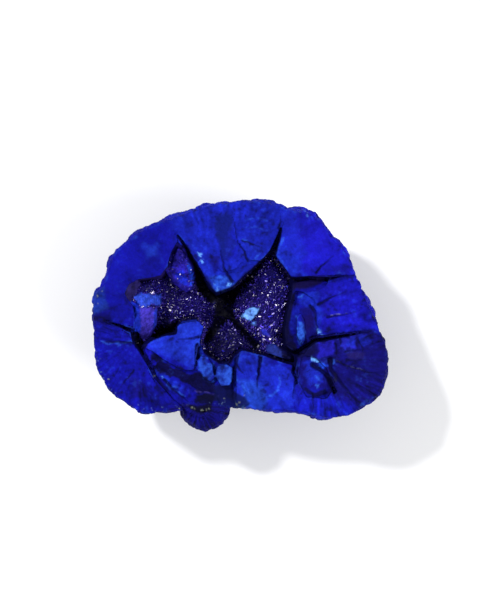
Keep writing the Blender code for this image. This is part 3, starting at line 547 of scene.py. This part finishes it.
# Specks nearly white, partly fibres bruised white by the break and partly painted highlights
# on lit edges: the tone, its strength and the places where they lie.
BRUISES_AND_HIGHLIGHTS = [
    (PALE, 0.9, [(-5.2, 7.3), (-4.8, 7.3), (-4.3, 6.6), (-4.5, 6.2), (-5.0, 6.6)]),
    (PALE, 0.8, [(-3.3, 3.5), (-2.9, 3.5), (-2.7, 3.1), (-3.0, 2.9)]),
    (PALE, 0.7, [(-2.3, 2.9), (-1.8, 3.0), (-1.7, 2.6), (-2.2, 2.5)]),
    (PALE, 0.8, [(-1.8, 3.6), (-1.3, 3.6), (-1.3, 3.2), (-1.7, 3.2)]),
    (PALE, 0.8, [(-10.0, -7.4), (-9.5, -7.5), (-9.3, -7.9), (-9.8, -7.9)]),
    (PALE, 0.3, [(6.8, 12.7), (8.3, 12.1), (8.2, 11.8), (6.8, 12.3)]),
    (PALE, 0.8, [(9.15, -1.6), (9.4, -1.7), (9.55, -2.3), (9.15, -2.5)]),
    (PALE, 0.35, [(-1.1, -10.2), (0.2, -10.8), (0.8, -11.5), (-0.6, -11.7)]),
]
# Two parts near the top whose tone is even.
QUIET_PARTS = [
    [(-17.0, 0.5), (-17.0, 9.0), (-9.0, 13.0), (-5.8, 11.0), (-7.4, 8.0), (-9.0, 5.0),
     (-12.6, 4.3), (-14.2, 3.0), (-14.0, 0.0)],
    [(3.6, 13.0), (9.0, 11.0), (12.6, 6.6), (12.6, 5.0), (8.4, 5.0), (5.6, 7.4)],
]
# Thin painted highlights along the edges of cracks, and a few dark lines of painted shade:
# tone, strength, width and points.
LIT_LINES = [
    (SKY, 0.5, 0.16, [(-16.6, -3.4), (-14.8, -3.6), (-12.9, -3.6)]),
    (SKY, 0.6, 0.16, [(-10.0, -7.3), (-9.0, -8.1), (-7.8, -9.2), (-6.9, -10.0)]),
    (BRIGHT, 0.9, 0.4, [(-9.9, -7.1), (-8.6, -8.0), (-7.0, -9.2)]),
    ((0.08, 0.08, 0.19), 0.9, 0.05, [(10.3, -0.25), (11.6, -0.1), (12.8, 0.1)]),
    (SKY, 0.25, 0.12, [(0.6, 11.2), (2.0, 11.5), (3.4, 11.1), (4.4, 10.4)]),
    (SKY, 0.2, 0.12, [(0.4, 10.2), (1.8, 10.4), (3.2, 9.9)]),
    (SKY, 0.4, 0.14, [(0.3, 8.9), (1.4, 8.1), (2.2, 7.2), (1.6, 6.4)]),
    (NIGHT, 0.8, 0.2, [(-16.2, -0.7), (-15.2, -1.2), (-14.0, -1.6)]),
    ((0.05, 0.04, 0.25), 0.5, 0.10, [(-5.4, -9.3), (-4.0, -9.5), (-2.6, -9.9)]),
    ((0.09, 0.10, 0.30), 0.7, 0.10, [(11.5, -5.7), (12.6, -6.2), (13.8, -6.5), (14.8, -6.8)]),
    (NIGHT, 0.9, 0.22, [(11.3, -7.2), (12.1, -8.4), (13.0, -9.4), (13.6, -10.2)]),
    (NIGHT, 0.8, 0.16, [(14.8, -6.8), (16.0, -7.2), (17.4, -7.7)]),
    (SKY, 0.5, 0.14, [(5.1, 9.0), (4.6, 8.0), (3.9, 7.2)]),
    (SKY, 0.5, 0.14, [(4.6, -7.4), (4.8, -8.3), (4.5, -9.1), (3.8, -9.8), (2.8, -10.2)]),
    (SKY, 0.4, 0.14, [(0.2, -8.6), (0.7, -9.4), (1.5, -9.9)]),
    (BRIGHT, 0.8, 0.25, [(4.2, 8.3), (5.4, 7.8), (7.0, 6.2), (7.6, 4.6)]),
]

spots, normals = to_points(stone.data)
face, rind, hollow = stone_zones(spots, normals)
calm = evened(stone.data, spots, 8)
# How far each point stands out of the skin around it: 1 is a full ridge.
RIDGE_HEIGHT = 0.12
ridge = np.clip(np.einsum("ij,ij->i", spots - calm, normals) / RIDGE_HEIGHT, -1, 1)

tone = np.tile(np.array(DEEP), (len(spots), 1))
# How the edges of patches stray, and up to what width a line follows its crack.
RAGGED = (0.5, 1.1, 3, (41.0, 31.0))
FINE_LINE = 0.14


def blend(colour, strength):
    """Moves the tone of the points towards a colour, each by its own strength."""
    strength = np.clip(strength, 0, 1)[:, None]
    tone[:] = tone * (1 - strength) + np.array(colour) * strength


wide = wobble(spots, 4.2)
patches = wobble(spots + 17.0, 1.3, 3)
small = wobble(spots + 23.0, 0.45)
ragged = strayed(spots, *RAGGED)
for colour, strength, soft, corners in TONES:
    depth = depth_within(ragged, corners)
    # Sky blue and pale patches are broken up.
    broken = 0.55 + 0.6 * ramp(small + patches, -0.3, 0.3) if colour in (SKY, PALE) else 1.0
    blend(colour, strength * broken * ramp(depth, -soft / 2, soft / 2))
crooked = strayed(spots, *CROOK)
for colour, strength, width, line in LIT_LINES:
    along = crooked if width <= FINE_LINE else ragged
    near = np.clip(1.4 - line_distance(along, line)[0] / width, 0, 1)
    blend(colour, strength * near * ramp(small + patches, -0.5, 0.3))
# Two quiet parts at the top are evenly toned, and the rest is patchy.
quiet = np.maximum(*(ramp(depth_within(spots, part), -1.5, 1.5) for part in QUIET_PARTS))
streaks = fibres(spots, 0.32, 2.5)
inner = depth_within(spots, STONE_OUTLINE)
rimward = 1 - ramp(inner, *RIM_BAND)
liveliness = 1.16 + 0.42 * wide + (0.45 - 0.2 * quiet) * patches
liveliness += (0.40 - 0.28 * quiet) * small + (0.2 + 0.5 * rimward * (1 - quiet)) * streaks
liveliness += 0.5 * rimward * within(spots, FIBRE_FANS[1][1]) * streaks
tone *= np.clip(liveliness, 0.25, 2.4)[:, None]
# Nearly white specks, partly bruised fibres and partly painted highlights.
speckled = ramp(wobble(spots + 71.0, 0.30), -0.15, 0.15)
for colour, strength, corners in BRUISES_AND_HIGHLIGHTS:
    blend(colour, strength * speckled * ramp(depth_within(ragged, corners), -0.1, 0.15))
blend(SKY, 0.13 * ramp(patches + small, 0.5, 1.0) * (1 - 0.6 * quiet))
blend(NIGHT, 0.5 * ramp(-patches - small, 0.55, 1.0) * (1 - 0.7 * quiet))
# Painted highlights on the ridges of the break, and painted shade in its small dips.
blend(SKY, 0.30 * ramp(ridge, 0.3, 1.0) * face * ramp(patches, -0.1, 0.6))
blend(NIGHT, 0.4 * ramp(-ridge, 0.3, 1.0) * face)
for colour, strength, soft, corners in DARK_PARTS:
    blend(colour, strength * ramp(depth_within(crooked, corners), -soft / 2, soft / 2))
# Painted shade darkens the fine cracks as well.
for line, width, depth in HAIRLINES:
    away, share = line_distance(crooked, line)
    taper = 1 - 0.6 * share
    blend(NIGHT, 0.9 * taper * np.clip(1.5 - away / (width * taper), 0, 1) * face)
# The bud below has a face of its own, with pale specks in it, and its slit is painted dark as
# shade.
bud = ramp(depth_within(spots, BUD), -0.2, 0.2) * ramp(spots[:, 2], 6.0, 8.0)
blend(RIND, 0.85 * rind * (1 - ramp(spots[:, 2], 9.0, 12.5)) * (1 - bud))
blend(BUD_TONE, 0.85 * bud)
tone *= (1 + 1.3 * bud * np.clip(fibres(spots, 0.4, 3.0), -0.6, 0.9))[:, None]
blend(SLIT_SHADE, 0.93 * ramp(depth_within(crooked, BUD_SLIT), -0.15, 0.15))
# Painted shade: the steep walls of the cracks and the stone in the hollow are darkened nearly
# black.
walls = np.clip(1 - face - rind - hollow, 0, 1) * ramp(inner, 1.1, 1.9)
blend(NIGHT, 0.85 * walls)
blend(NIGHT, 0.9 * hollow)
blend(ARM_WALL_TONE, 0.9 * hollow * ramp(depth_within(spots, ARM_WALL), -0.2, 0.2))
# Pale clay stays in the seams between the knobs, and dulls the rind around it.
seams = 0.5 * wobble(spots + 53.0, 0.6, 3) + 0.45 * wobble(spots + 61.0, 3.5) - 0.5 * ridge
lower = rind * (1 - bud) * (1 - ramp(spots[:, 2], 10.5, 12.5))
blend(DUST, 0.55 * lower * ramp(seams, -0.3, 0.5))
blend(CLAY, 0.55 * lower * ramp(seams, 0.40, 0.80))
specks = ramp(wobble(spots + 83.0, 0.30), 0.46, 0.58)
dusty = ramp(depth_within(spots, DUSTY_RIM), -0.3, 0.3) * (1 - ramp(inner, 0.4, 0.9)) * (1 - bud)
blend(SPECK_TONE, 0.7 * specks * dusty)
for x, y, radius in CLAY_SPECKS:
    away = np.hypot(crooked[:, 0] - x, crooked[:, 1] - y)
    blend(CLAY, 0.85 * ramp(radius - away, -0.05, 0.05) * (spots[:, 2] > 10.5))



def keep_tones(mesh, tones):
    """Stores each point's tone where the finish reads it."""
    colours = mesh.color_attributes.new("tone", "FLOAT_COLOR", "POINT")
    colours.data.foreach_set("color", np.column_stack([tones, np.ones(len(tones))]).ravel())


def grained_finish(name, scale, detail, least, most):
    """A finish with the piece's own tones under fine grain that dims and lights them."""
    finish = bpy.data.materials.new(name)
    finish.use_nodes = True
    nodes, links = finish.node_tree.nodes, finish.node_tree.links
    place = nodes.new("ShaderNodeTexCoord")
    colour = nodes.new("ShaderNodeAttribute")
    colour.attribute_name = "tone"
    fine_grain = nodes.new("ShaderNodeTexNoise")
    fine_grain.inputs["Scale"].default_value = scale
    fine_grain.inputs["Detail"].default_value = detail
    grain_range = nodes.new("ShaderNodeMapRange")
    grain_range.inputs["From Min"].default_value = 0.3
    grain_range.inputs["From Max"].default_value = 0.7
    grain_range.inputs["To Min"].default_value = least
    grain_range.inputs["To Max"].default_value = most
    shade = nodes.new("ShaderNodeVectorMath")
    shade.operation = "SCALE"
    links.new(place.outputs["Object"], fine_grain.inputs["Vector"])
    links.new(fine_grain.outputs["Fac"], grain_range.inputs["Value"])
    links.new(colour.outputs["Color"], shade.inputs[0])
    links.new(grain_range.outputs["Result"], shade.inputs["Scale"])
    links.new(shade.outputs["Vector"], nodes["Principled BSDF"].inputs["Base Color"])
    return finish, fine_grain


keep_tones(stone.data, tone)
stone_finish, stone_grain = grained_finish("massive_azurite", 4200.0, 3.0, 0.8, 1.2)
stone_grain.inputs["Roughness"].default_value = 0.7
nodes, links = stone_finish.node_tree.nodes, stone_finish.node_tree.links
shader = nodes["Principled BSDF"]
shader.inputs["Roughness"].default_value = 0.72
shader.inputs["Specular IOR Level"].default_value = 0.05
shader.inputs["IOR"].default_value = 1.5
bump = nodes.new("ShaderNodeBump")
bump.inputs["Strength"].default_value = 0.6
bump.inputs["Distance"].default_value = 0.05 * MM
links.new(stone_grain.outputs["Fac"], bump.inputs["Height"])
links.new(bump.outputs["Normal"], shader.inputs["Normal"])

stone.data.materials.clear()
stone.data.materials.append(stone_finish)
stone.data.shade_smooth()
stone.select_set(False)
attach(stone, "root")
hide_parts("nodule")

# ---------------------------------------------------------------------------
# The druse. Thousands of tiny dark azurite crystals with flat shining faces that
# grew into the hollow, on a thin bed that lines its floor and walls. In places
# the bed is bare: broken plates of plain blue stone, and smooth dull sides.

BED_VOXEL = 0.16
BED_BUMPS = 0.06
# How the edges of its bare places stray: how far, in bumps of what size, which noise.
BED_RAGGED = (0.18, 0.5, 3, (41.0, 31.0))
CRYSTAL_PITCH = 0.25
DRUSE_SEED = 5

STRIP_SIDE = [(-13.6, 1.6), (-12.2, 1.2), (-12.0, -0.8), (-12.0, -2.4), (-13.1, -2.4),
              (-13.4, -0.5)]
ARM_CORNER = [(-14.4, 1.3), (-14.3, 4.0), (-12.6, 4.8), (-10.6, 5.0), (-9.4, 5.2),
              (-9.6, 4.1), (-11.7, 3.7), (-12.3, 3.2), (-12.5, 2.6), (-12.9, 1.7),
              (-13.3, 1.2)]
# Bare places in the druse: how high a flat plate stands over the bed, or None for
# a slope that keeps its shape, the tone and the corners.
BARE_PLACES = [
    (0.30, (0.026, 0.064, 0.56),
     [(-12.8, 2.0), (-12.3, 2.4), (-11.4, 2.3), (-9.6, 2.3), (-9.7, 0.9), (-10.8, 1.1),
      (-11.6, 0.7), (-12.5, 1.2)]),
    (0.10, (0.050, 0.033, 0.45),
     [(-12.7, 0.8), (-10.0, 0.7), (-10.1, -1.4), (-10.8, -2.7), (-11.4, -3.9), (-12.5, -2.2)]),
    (None, (0.008, 0.024, 0.46), STRIP_SIDE),
    (0.12, (0.012, 0.035, 0.50),
     [(-10.4, 0.5), (-10.0, 0.6), (-10.2, -1.6), (-10.6, -2.0)]),
    (None, (0.011, 0.007, 0.20),
     [(-8.0, 9.8), (-7.2, 9.4), (-6.4, 7.9), (-5.7, 6.3), (-5.5, 4.6), (-5.8, 2.8), (-6.6, 2.5),
      (-8.2, 3.5), (-9.4, 5.2), (-9.0, 7.2)]),
    (None, (0.022, 0.014, 0.40),
     [(-8.7, 5.6), (-6.6, 6.0), (-6.0, 4.0), (-6.2, 3.2), (-7.9, 4.0)]),
    (None, (0.012, 0.024, 0.55),
     [(-8.0, 4.8), (-7.0, 5.2), (-6.4, 4.2), (-6.4, 3.3), (-7.4, 3.8)]),
    (None, (0.012, 0.050, 0.60),
     [(-6.5, 6.1), (-6.1, 6.0), (-5.6, 4.4), (-5.7, 3.2), (-6.0, 3.2), (-6.1, 4.4)]),
    (0.40, (0.15, 0.36, 0.95),
     [(0.0, -0.4), (1.2, -0.9), (1.6, -0.7), (2.3, 0.4), (1.7, 0.9), (1.2, 0.7), (0.7, 0.3)]),
    (0.35, (0.015, 0.04, 0.25), [(1.2, 0.45), (1.42, 0.45), (1.38, -0.3), (1.24, -0.3)]),
    (0.30, (0.10, 0.24, 0.80), [(1.4, -1.1), (1.8, -1.1), (1.8, -1.5), (1.4, -1.5)]),
    (0.20, (0.030, 0.040, 0.60), [(2.4, -1.8), (3.3, -2.1), (3.4, -2.7), (2.7, -2.7)]),
    (0.20, (0.012, 0.024, 0.21),
     [(3.1, -3.8), (4.1, -3.6), (4.9, -4.5), (5.3, -5.8), (4.3, -5.8), (3.2, -4.7)]),
    (None, (0.004, 0.004, 0.050),
     [(4.5, -3.6), (5.6, -4.2), (6.6, -5.4), (6.6, -6.4), (5.2, -6.1), (5.0, -4.9)]),
    (None, (0.017, 0.012, 0.098), ARM_CORNER),
]
# Parts where no crystal grows at all.
CLEAN_PARTS = [
    STRIP_SIDE,
    ARM_CORNER,
    [(5.0, -3.4), (6.8, -3.4), (7.4, -6.6), (5.4, -6.2), (4.9, -5.0)],
]
# Parts of the druse that are darker than the rest, most of them painted shade in its deep gaps
# and trenches, or below zero lighter, among them painted light on the top of the right arm,
# which lies deep in shade: how dark, soft edge, corners.
DRUSE_SHADES = [
    (0.93, 0.5,
     [(-3.4, 3.4), (-1.4, 3.0), (0.0, 3.6), (2.6, 6.6), (3.1, 6.2), (1.2, 3.8), (-0.2, 2.2),
      (-0.8, 1.0), (-0.5, -0.5), (1.2, -2.6), (2.6, -3.8), (1.8, -4.4), (0.0, -2.6),
      (-1.4, -1.0), (-2.6, -2.0), (-3.8, -3.8), (-4.5, -3.2), (-3.4, -1.0), (-3.1, 1.0)]),
    (0.95, 0.4,
     [(-7.6, 9.2), (-6.9, 7.6), (-6.2, 6.0), (-5.6, 4.2), (-5.3, 2.6), (-3.6, 1.0), (-2.4, 2.4),
      (-4.0, 4.8), (-5.6, 7.6)]),
    (0.92, 0.4,
     [(6.3, 5.0), (7.2, 4.4), (7.0, 0.0), (6.0, -3.0), (7.0, -5.0), (6.0, -5.0), (4.9, -3.6),
      (4.8, -2.2), (5.5, 0.2), (5.8, 2.2), (5.9, 4.0)]),
    (0.93, 0.4,
     [(-10.0, -1.5), (-9.0, -1.4), (-7.7, -0.8), (-7.2, -1.0), (-7.0, -2.8), (-9.0, -3.0),
      (-10.8, -3.8), (-11.0, -2.8)]),
    (-1.5, 1.0, [(1.4, 4.4), (2.6, 6.2), (3.7, 7.8), (5.3, 6.2), (5.4, 4.8), (2.8, 3.6)]),
    (-0.45, 1.0,
     [(-0.3, 1.0), (1.4, 3.0), (2.8, 4.6), (5.4, 5.0), (5.0, -1.8), (3.2, -3.2), (0.6, -1.2)]),
    (-0.5, 0.6, [(2.2, -1.5), (3.6, -1.6), (3.9, -3.0), (2.7, -3.1)]),
    (0.33, 0.8, [(-3.8, -2.0), (0.6, -2.0), (2.4, -4.4), (-1.0, -6.2), (-4.6, -4.6)]),
]
BED_TONE = (0.0045, 0.0025, 0.065)
# Tones of the crystals, from the dark ones to the few pale ones, and their shares. The two
# pale ones are painted glints.
CRYSTAL_TONES_AND_GLINTS = [(0.036, 0.021, 0.27), (0.060, 0.038, 0.38), (0.022, 0.015, 0.16),
                 (0.034, 0.031, 0.49), (0.29, 0.25, 0.62), (0.78, 0.72, 0.92)]
CRYSTAL_SHARES = (0.39, 0.22, 0.22, 0.08, 0.05, 0.04)
# How far the crystals lean off the bed's normal. Sizes in millimetres: the least,
# what may be added, and how rare large ones are.
CRYSTAL_LEAN = 0.38
CRYSTAL_SIZES = (0.15, 0.22, 2.5)
GLINT_SIZES = (0.11, 0.22, 1.6)
GLINT_SHARE = 0.10
GLINT_SPREAD = 0.03
# The share of crystals that stray onto bare slopes, and that grow on the walls.
STRAYS = 0.13
WALL_SHARE = 0.4
# How far the crystals on the walls are dimmed, as painted shade.
WALL_LIGHT = 0.15
# Floors with more glints than the rest: how many times as many, and their corners.
LIVELY_FLOORS = [
    (0.5, [(1.0, 4.2), (2.6, 6.6), (3.7, 7.8), (5.6, 6.2), (5.6, 4.2), (2.8, 3.6)]),
    (2.2, [(3.6, 3.4), (5.6, 3.2), (5.6, 0.8), (3.4, 0.6)]),
    (1.3, [(1.2, -0.6), (5.2, -0.2), (5.0, -3.0), (3.0, -3.4)]),
    (2.0, [(-11.6, 3.7), (-9.4, 3.9), (-9.0, 2.6), (-11.6, 2.5)]),
    (1.9, [(-9.4, 3.4), (-5.0, 2.6), (-5.0, -0.8), (-9.2, -1.4)]),
    (3.0, [(-8.4, 5.0), (-6.0, 6.2), (-5.6, 3.2), (-6.8, 2.6), (-8.4, 3.4)]),
    (1.7, [(-3.8, -1.8), (0.6, -2.0), (2.8, -4.4), (-1.0, -6.2), (-4.6, -4.6)]),
]
# The one wall that sparkles.
LIVELY_WALL = [(-5.1, -0.4), (-3.4, -0.4), (-3.7, -4.4), (-5.2, -4.4)]
# Halfway between straight up and the lamp on the left.
GLINT_WAY = Vector((-0.25, 0.21, 0.93))

# Smooth leaning sides that close the hollow's left arms: their corners with their
# heights.
LEANING_SIDES = [
    [(-7.9, 9.4, 13.9), (-7.3, 9.0, 13.7), (-6.7, 7.9, 13.2), (-6.0, 6.3, 12.5),
     (-5.7, 4.6, 11.8), (-5.9, 2.8, 10.8), (-6.6, 2.5, 10.7), (-8.2, 3.6, 11.4), (-9.1, 5.2, 12.6),
     (-8.8, 7.1, 13.5)],
    [(-13.3, 1.6, 13.9), (-12.2, 1.3, 12.6), (-12.0, -0.8, 12.3), (-12.0, -2.2, 12.5),
     (-12.6, -2.2, 13.5), (-13.0, -0.5, 13.9)],
    [(-13.6, 1.3, 14.0), (-13.95, 2.3, 14.2), (-13.5, 3.55, 14.2), (-12.4, 4.15, 14.1),
     (-11.9, 3.7, 13.1), (-12.4, 3.2, 13.1), (-12.7, 2.5, 13.1), (-13.0, 1.5, 13.3)],
]

bed = merged_copy("crystal_crust", "azurite_druse")
with_blocks(bed, LEANING_SIDES)
remeshed(bed, BED_VOXEL)
bed_spots, bed_normals = to_points(bed.data)
top = ramp(bed_normals[:, 2], 0.1, 0.4)
bed_spots[:, 2] += top * BED_BUMPS * wobble(bed_spots, 0.5)
bed_tone = np.tile(np.array(BED_TONE), (len(bed_spots), 1))
bare = np.zeros(len(bed_spots))
bed_ragged = strayed(bed_spots, *BED_RAGGED)
bed_shade = np.ones(len(bed_spots))
# Painted shade darkens the bed in the druse's dark parts, and painted light lifts it below zero.
for dark, soft, corners in DRUSE_SHADES:
    bed_shade *= 1 - dark * ramp(depth_within(bed_spots, corners), -soft / 2, soft / 2)
bed_tone *= bed_shade[:, None]
for height, colour_of, corners in BARE_PLACES:
    depth = depth_within(bed_ragged, corners)
    on = ramp(depth, -0.1, 0.1) * top
    chosen = (depth > 0) & (top > 0.5)
    if height is not None:
        # A plate is flat: one plane through its part of the bed, with a little grain.
        sheet = np.column_stack([bed_spots[chosen, :2], np.ones(chosen.sum())])
        plane = np.linalg.lstsq(sheet, bed_spots[chosen, 2], rcond=None)[0]
        level = bed_spots[:, :2] @ plane[:2] + plane[2] + height
        level += 0.05 * wobble(bed_spots + 9.0, 0.6, 3)
        bed_spots[:, 2] += on * (level - bed_spots[:, 2])
    shade_of = 0.9 + 0.7 * wobble(bed_spots + 3.0, 0.5, 3)
    bed_tone = bed_tone * (1 - on[:, None]) + np.array(colour_of) * (on * shade_of)[:, None]
    bare = np.maximum(bare, on)
bare = np.maximum(bare, 1 - bed_shade)
put_points(bed.data, bed_spots)
bed.data.shade_smooth()

# One crystal: a short flattened prism with six sides and a roof-shaped end.
bpy.ops.object.select_all(action="DESELECT")
bpy.ops.mesh.primitive_cylinder_add(vertices=6, radius=0.5, depth=1.6,
                                    location=(0, 0, 0.4))
crystal = bpy.context.object
bpy.ops.object.mode_set(mode="EDIT")
bpy.ops.mesh.select_mode(type="FACE")
bpy.ops.mesh.select_all(action="SELECT")
bpy.ops.transform.resize(value=(1.0, 0.72, 1.0), center_override=(0, 0, 0))
bpy.ops.object.mode_set(mode="OBJECT")
for polygon in crystal.data.polygons:
    polygon.select = polygon.normal.z > 0.9
bpy.ops.object.mode_set(mode="EDIT")
bpy.ops.transform.resize(value=(0.62, 0.16, 1.0), center_override=(0, 0, 1.2))
bpy.ops.transform.translate(value=(0.08, 0, 0.1))
bpy.ops.object.mode_set(mode="OBJECT")
for polygon in crystal.data.polygons:
    polygon.select = polygon.normal.z < -0.9
bpy.ops.object.mode_set(mode="EDIT")
bpy.ops.mesh.delete(type="FACE")
bpy.ops.mesh.select_all(action="SELECT")
bpy.ops.mesh.quads_convert_to_tris()
bpy.ops.object.mode_set(mode="OBJECT")
crystal_points = np.array([v.co for v in crystal.data.vertices])
crystal_faces = np.array([p.vertices for p in crystal.data.polygons])
crystal_side = max(crystal.data.polygons, key=lambda p: p.area).normal.copy()
bpy.ops.object.delete()


def triangle_table(mesh):
    """Corners, normals and areas of a mesh's triangles, in millimetres."""
    mesh.calc_loop_triangles()
    table = np.empty(len(mesh.loop_triangles) * 3, int)
    mesh.loop_triangles.foreach_get("vertices", table)
    places = to_points(mesh)[0][table.reshape(-1, 3)]
    cross = np.cross(places[:, 1] - places[:, 0], places[:, 2] - places[:, 0])
    area = np.linalg.norm(cross, axis=1)
    return places, cross / np.maximum(area, 1e-12)[:, None], area / 2


random_of = np.random.default_rng(DRUSE_SEED)
seeds = []
for mesh in (bed.data, stone.data):
    places, facing, area = triangle_table(mesh)
    middle = places.mean(axis=1)
    if mesh is bed.data:
        fit = facing[:, 2] > 0.12
        smooth = np.zeros(len(fit), bool)
        for height, colour_of, corners in BARE_PLACES:
            if height is None:
                smooth |= within(middle, corners)
            else:
                fit &= ~within(middle, corners)
        fit &= ~smooth | (random_of.random(len(fit)) < STRAYS)
    else:
        fit = (depth_within(middle, HOLLOW_OUTLINE) > -0.3) & (middle[:, 2] < 12.9)
        fit &= (middle[:, 2] > 7.5) & (facing[:, 2] > -0.2)
        fit &= (random_of.random(len(fit)) < WALL_SHARE) | within(middle, LIVELY_WALL)
        fit &= ~within(middle, ARM_WALL) | (middle[:, 2] < 11.0)
    for part in CLEAN_PARTS:
        fit &= ~within(middle, part)
    area = area * fit
    number = int(area.sum() / (CRYSTAL_PITCH ** 2 * 0.5))
    chosen = random_of.choice(len(area), number, p=area / area.sum())
    weight = random_of.dirichlet((1, 1, 1), number)
    spot = np.einsum("ij,ijk->ik", weight, places[chosen])
    # Painted shade and painted light from the druse's dark and lit parts.
    shades = np.ones(number)
    for dark, soft, corners in DRUSE_SHADES:
        shades *= 1 - dark * ramp(depth_within(spot, corners), -soft / 2, soft / 2)
    if mesh is not bed.data:
        # Crystals on the walls of the hollow are dimmed as painted shade, but for one wall that
        # sparkles.
        shades *= np.where(within(spot, LIVELY_WALL), 1, WALL_LIGHT)
    seeds += list(zip(spot, facing[chosen], shades))

taken, kept = {}, []
for spot, facing, shade_of in seeds:
    cell = tuple((spot / CRYSTAL_PITCH).astype(int))
    if cell in taken or random_of.random() > 4 * shade_of:
        continue
    taken[cell] = True
    kept.append((spot, facing, shade_of))
points, tones, matt = [bed_spots], [bed_tone], [bare]
bed_faces = [tuple(p.vertices) for p in bed.data.polygons]
start = len(bed_spots)
crystal_faces_all = []
for spot, facing, shade_of in kept:
    lean = Vector(facing) + Vector(random_of.normal(0, CRYSTAL_LEAN, 3))
    turn = lean.to_track_quat("Z", "Y")
    spin = Matrix.Rotation(random_of.uniform(0, 2 * math.pi), 3, "Z")
    least, more, rare = CRYSTAL_SIZES
    size = least + more * random_of.random() ** rare
    # Crystals that lie the same way stand together in patches.
    patch_of = 0.35 + 1.8 * (noise.noise(Vector(spot) / 0.9 + STONE_SEED) > 0.05)
    for more, part in LIVELY_FLOORS:
        patch_of *= more if within(spot[None, :], part)[0] else 1
    if random_of.random() < GLINT_SHARE * patch_of and shade_of > 0.5:
        # Some crystals lie on their side, with a wide face towards the lamp.
        way = (GLINT_WAY + Vector(random_of.normal(0, GLINT_SPREAD, 3))).normalized()
        turn = (Quaternion(way, random_of.uniform(0, 2 * math.pi))
                @ crystal_side.rotation_difference(way))
        spin = Matrix.Identity(3)
        least, more, rare = GLINT_SIZES
        size = least + more * random_of.random() ** rare
    shape = np.array(turn.to_matrix() @ spin) * size
    points.append(crystal_points @ shape.T + spot)
    # A few crystals take a pale tone, as painted glints.
    pick = CRYSTAL_TONES_AND_GLINTS[random_of.choice(len(CRYSTAL_TONES_AND_GLINTS), p=CRYSTAL_SHARES)]
    shade_of *= random_of.uniform(0.6, 1.4)
    tones.append(np.tile(np.array(pick) * shade_of, (len(crystal_points), 1)))
    matt.append(np.zeros(len(crystal_points)))
    crystal_faces_all.append(crystal_faces + start)
    start += len(crystal_points)
points, tones, matt = (np.concatenate(part) for part in (points, tones, matt))
all_faces = bed_faces + [tuple(f) for group in crystal_faces_all for f in group.tolist()]
mesh = bpy.data.meshes.new("azurite_druse")
mesh.from_pydata((points * MM).tolist(), [], all_faces)
flat = np.ones(len(all_faces), bool)
flat[:len(bed_faces)] = False
mesh.polygons.foreach_set("use_smooth", ~flat)
keep_tones(mesh, tones)
mesh.attributes.new("matt", "FLOAT", "POINT").data.foreach_set("value", matt)
druse = bed
druse.data = mesh

druse_finish = grained_finish("azurite_crystal_faces", 5000.0, 2.0, 0.75, 1.25)[0]
nodes, links = druse_finish.node_tree.nodes, druse_finish.node_tree.links
shader = nodes["Principled BSDF"]
shader.inputs["IOR"].default_value = 1.78
shader.inputs["Specular IOR Level"].default_value = 0.03
dull = nodes.new("ShaderNodeAttribute")
dull.attribute_name = "matt"
dull_range = nodes.new("ShaderNodeMapRange")
dull_range.inputs["To Min"].default_value = 0.10
dull_range.inputs["To Max"].default_value = 0.65
links.new(dull.outputs["Fac"], dull_range.inputs["Value"])
links.new(dull_range.outputs["Result"], shader.inputs["Roughness"])
druse.data.materials.append(druse_finish)
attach(druse, "root")
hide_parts("crystal_crust")

# ---------------------------------------------------------------------------
# The floor, the light and the camera. A pale seamless floor, soft light from all
# round, and one smaller lamp up on the left that wakes the crystal faces.

FACE_LEVEL = 15.0
LOOK_AT = (-0.06, 1.32)
CAMERA_RISE = 422.2
LAMP_AIM = Vector((0, 0, 0.012))

bpy.ops.mesh.primitive_plane_add(size=1.6, location=(0, 0, 0))
floor = bpy.context.object
floor.name = "pale_floor"
floor_finish = bpy.data.materials.new("pale_floor")
floor_finish.use_nodes = True
floor_shader = floor_finish.node_tree.nodes["Principled BSDF"]
floor_shader.inputs["Base Color"].default_value = (0.88, 0.88, 0.88, 1)
floor_shader.inputs["Roughness"].default_value = 0.9
floor_shader.inputs["Specular IOR Level"].default_value = 0.1
floor.data.materials.append(floor_finish)

world = bpy.data.worlds.new("soft_room")
bpy.context.scene.world = world
world.use_nodes = True
world.node_tree.nodes["Background"].inputs["Color"].default_value = (0.97, 0.98, 1.0, 1)
world.node_tree.nodes["Background"].inputs["Strength"].default_value = 0.60


def lamp(name, direction, distance, width, power):
    """A round soft lamp that looks at the stone, so far off and so wide."""
    data = bpy.data.lights.new(name, "AREA")
    data.shape = "DISK"
    data.size = width
    data.energy = power
    lit = bpy.data.objects.new(name, data)
    bpy.context.scene.collection.objects.link(lit)
    lit.location = Vector(direction).normalized() * distance + LAMP_AIM
    lit.rotation_euler = Vector(direction).to_track_quat("Z", "Y").to_euler()


lamp("key_lamp", (-0.50, 0.42, 0.85), distance=0.6, width=0.07, power=2.7)
lamp("soft_fill", (0.75, -0.35, 0.75), distance=0.7, width=0.5, power=3.2)

camera_data = bpy.data.cameras.new("camera")
camera_data.lens = 210.0
camera_data.sensor_width = 36.0
camera_data.clip_start = 0.01
camera_data.clip_end = 10.0
camera = bpy.data.objects.new("camera", camera_data)
bpy.context.scene.collection.objects.link(camera)
camera.location = (LOOK_AT[0] * MM, LOOK_AT[1] * MM, (FACE_LEVEL + CAMERA_RISE) * MM)
bpy.context.scene.camera = camera
bpy.context.scene.view_settings.view_transform = "Standard"
